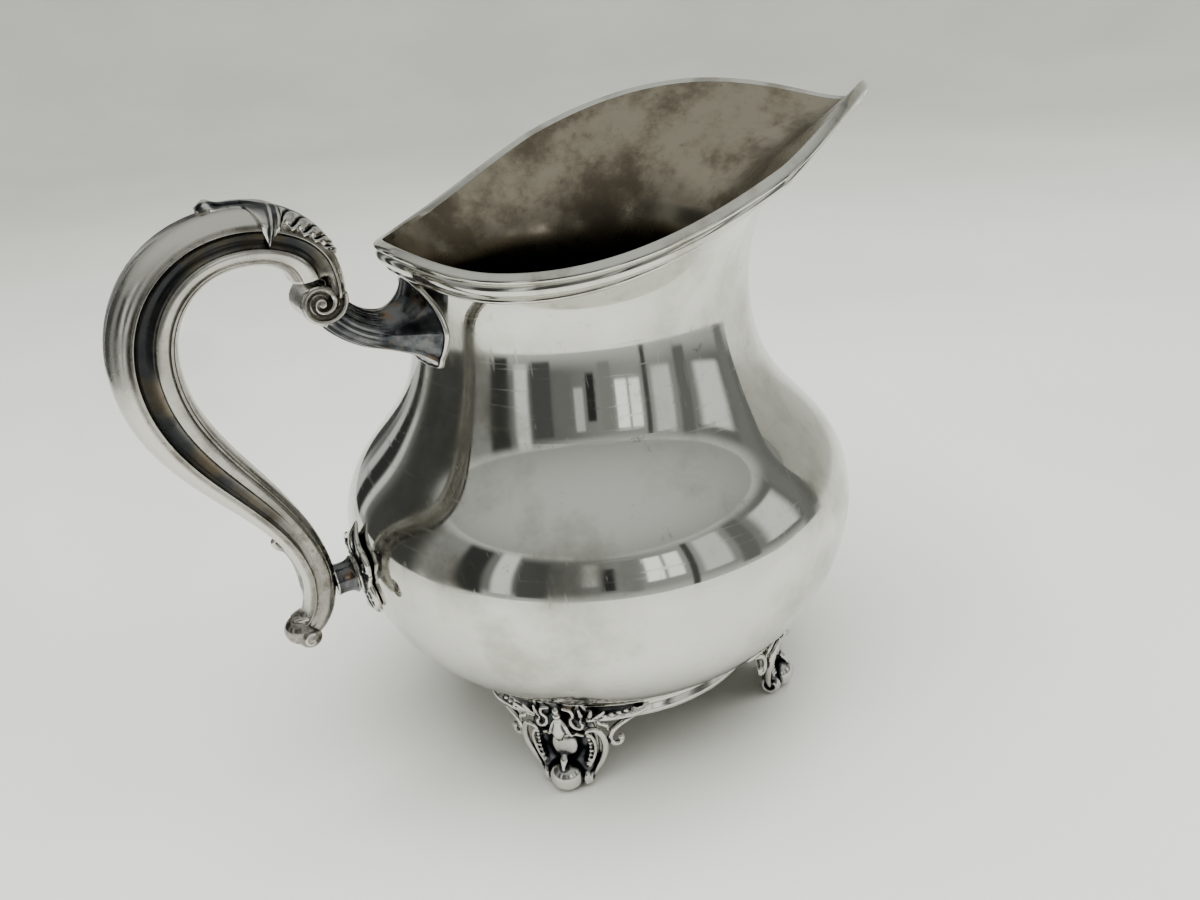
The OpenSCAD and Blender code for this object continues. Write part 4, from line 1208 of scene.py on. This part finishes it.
def white_table_top():
    """Honed white composite. The eye gets an even pale surface with a soft sheen."""
    made, tree, shader = blank("white_table_top")
    place = add(tree, "ShaderNodeTexCoord").outputs["Object"]
    tint = mixed(tree, ranged(tree, cloud(tree, place, 400, 3.0), 0.3, 0.7), "#dcdcd7", "#d4d4cf")
    tree.links.new(tint, shader.inputs["Base Color"])
    shader.inputs["Roughness"].default_value = 0.32
    return made


a = np.linspace(0, 2 * math.pi, 96, endpoint=False)
table_z = round(cad_box[0][2] / mm, 2) - 0.02    # just under the feet
sweep = smooth_path([[0, table_z, 0], [700, table_z, 0], [1500, table_z, 0], [2000, 40, 0], [2400, 240, 0],
                     [2650, 640, 0], [2750, 1300, 0]], 60)
sweep[:, 1] = np.maximum(sweep[:, 1], table_z)
table_rows = [np.stack([r * np.cos(a), r * np.sin(a), a * 0 + z], axis=1) for r, z in sweep[:, :2]]
table = skin("table_top", table_rows, close_rows=False, close_cols=True)
table.data.materials.append(white_table_top())


def soft_light(name, place, aim, size, power):
    """A large soft lamp that lights the matt surfaces but isn't seen in the silver."""
    lamp = bpy.data.lights.new(name, "AREA")
    lamp.shape, lamp.size, lamp.size_y = "RECTANGLE", size[0], size[1]
    lamp.energy = power
    holder = bpy.data.objects.new(name, lamp)
    holder.location = place
    holder.rotation_euler = (Vector(aim) - Vector(place)).to_track_quat("-Z", "Y").to_euler()
    holder.visible_glossy = False
    bpy.context.scene.collection.objects.link(holder)


# Soft rectangles on the board: [middle in degrees, half width, foot, head in m, tone, edge]
board_tones = [
    [-262, 4, 0.00, 0.40, 0.10, 2.0], [-250, 3, 0.02, 0.44, 0.60, 1.5], [-243, 4, 0.00, 0.50, 0.06, 1.2],
    [-236, 2, 0.04, 0.42, 0.75, 0.8], [-214, 18, 0.00, 0.50, 0.10, 5.0], [-186, 5, 0.00, 0.46, 0.34, 1.5],
    [-172, 6, 0.02, 0.48, 0.07, 1.6], [-158, 4, 0.05, 0.50, 0.85, 1.2], [-146, 6, 0.04, 0.42, 0.12, 1.0],
    [-133, 5, 0.10, 0.36, 0.22, 0.8], [-124, 2.6, 0.16, 0.40, 0.62, 0.6],
    [-117, 2.4, 0.10, 0.34, 0.05, 0.5], [-108, 3.6, 0.06, 0.42, 0.30, 0.8],
    [-99, 3.4, 0.14, 0.40, 1.30, 0.6], [-91, 3.2, 0.14, 0.40, 1.20, 0.6],
    [-84, 1.4, 0.00, 0.46, 0.10, 0.5], [-74, 6, 0.10, 0.44, 0.75, 1.4], [-60, 4, 0.04, 0.50, 0.20, 1.2],
    [-42, 9, 0.10, 0.40, 0.85, 3.0], [-26, 4, 0.00, 0.50, 0.25, 2.0]]


def room_board():
    """A curved board that the mirror sees and the camera doesn't. Soft dark and pale
    rectangles stand in for a room, so the silver has something to draw its shape with."""
    made, tree, _ = blank("reflection_board")
    tone = add(tree, "ShaderNodeAttribute", {"attribute_name": "tone"}).outputs["Fac"]
    glow = add(tree, "ShaderNodeEmission", {"Color": linear("#f1f2ee")}, Strength=tone).outputs[0]
    out = [n for n in tree.nodes if n.type == "OUTPUT_MATERIAL"][0]
    tree.links.new(glow, out.inputs[0])
    turns = np.linspace(-268, -18, 700)
    heights = np.linspace(0.004, 0.50, 90)
    at_turn, at_height = np.meshgrid(turns, heights)
    value = 0.30 + 0.10 * np.sin(np.radians(at_turn * 3.1))
    value = value + (0.62 - value) * ease((0.10 - at_height) / 0.10)
    for mid, half, foot, head, level, edge in board_tones:
        beside = ease((half + edge - abs(at_turn - mid)) / (2 * edge))
        within = ease((at_height - foot) / 0.02 + 0.5) * ease((head - at_height) / 0.02 + 0.5)
        value = value + (level - value) * beside * within
    value = value + (0.62 - value) * ease((at_height - 0.43) / 0.07)
    a = np.radians(turns)
    grid = [np.stack([620 * np.cos(a), 620 * np.sin(a), np.full(len(a), z * 1000)], axis=1) for z in heights]
    board = skin("reflection_board", grid, close_cols=False, weld=None)
    tones = board.data.attributes.new("tone", "FLOAT", "POINT")
    tones.data.foreach_set("value", value.ravel().astype(np.float32))
    board.visible_camera = board.visible_shadow = board.visible_diffuse = board.visible_transmission = False
    board.data.materials.append(made)


room_board()
middle = (0, 0, 0.1)
soft_light("overhead", (-0.1, -0.25, 1.6), middle, (1.6, 1.6), 38)
soft_light("window_left", (-1.6, -0.1, 1.0), middle, (0.8, 1.0), 6)
soft_light("window_right", (1.5, -0.9, 1.0), middle, (0.9, 0.9), 10)
world = bpy.data.worlds.new("studio")
world.use_nodes = True
bpy.context.scene.world = world
sky = world.node_tree
backdrop = sky.nodes["Background"]
up = add(sky, "ShaderNodeSeparateXYZ", Vector=add(sky, "ShaderNodeTexCoord").outputs["Generated"]).outputs[2]
room = mixed(sky, ranged(sky, up, 0.30, 0.92), "#999a95", "#dddeda")
seen = add(sky, "ShaderNodeLightPath").outputs["Is Camera Ray"]
sky.links.new(mixed(sky, seen, room, "#cdcfca"), backdrop.inputs[0])
backdrop.inputs[1].default_value = 0.8


# ---- Camera ----------------------------------------------------------------------------------
# Standing a little above the pitcher on its right-hand side, behind the handle.

heading, pitch, roll = math.radians(28.4), math.radians(24.88), math.radians(-5.14)
ahead = Vector((math.sin(heading) * math.cos(pitch), math.cos(heading) * math.cos(pitch), -math.sin(pitch)))
upright = Vector((math.sin(heading) * math.sin(pitch), math.cos(heading) * math.sin(pitch), math.cos(pitch)))
across = Vector((math.cos(heading), -math.sin(heading), 0))
cam_x = across * math.cos(roll) + upright * math.sin(roll)
cam_y = upright * math.cos(roll) - across * math.sin(roll)
camera_place = (-0.1332, -0.2506, 0.2202)
lens = bpy.data.cameras.new("camera")
lens.sensor_width, lens.lens, lens.clip_start = 36.0, 28.26, 0.01
camera = bpy.data.objects.new("camera", lens)
turned_to = Matrix((cam_x, cam_y, -ahead)).transposed().to_4x4()
camera.matrix_world = Matrix.Translation(camera_place) @ turned_to
bpy.context.scene.collection.objects.link(camera)
bpy.context.scene.camera = camera
bpy.context.scene.view_settings.view_transform = "AgX"
bpy.context.scene.view_settings.look = "AgX - Medium High Contrast"

bpy.context.view_layer.update()
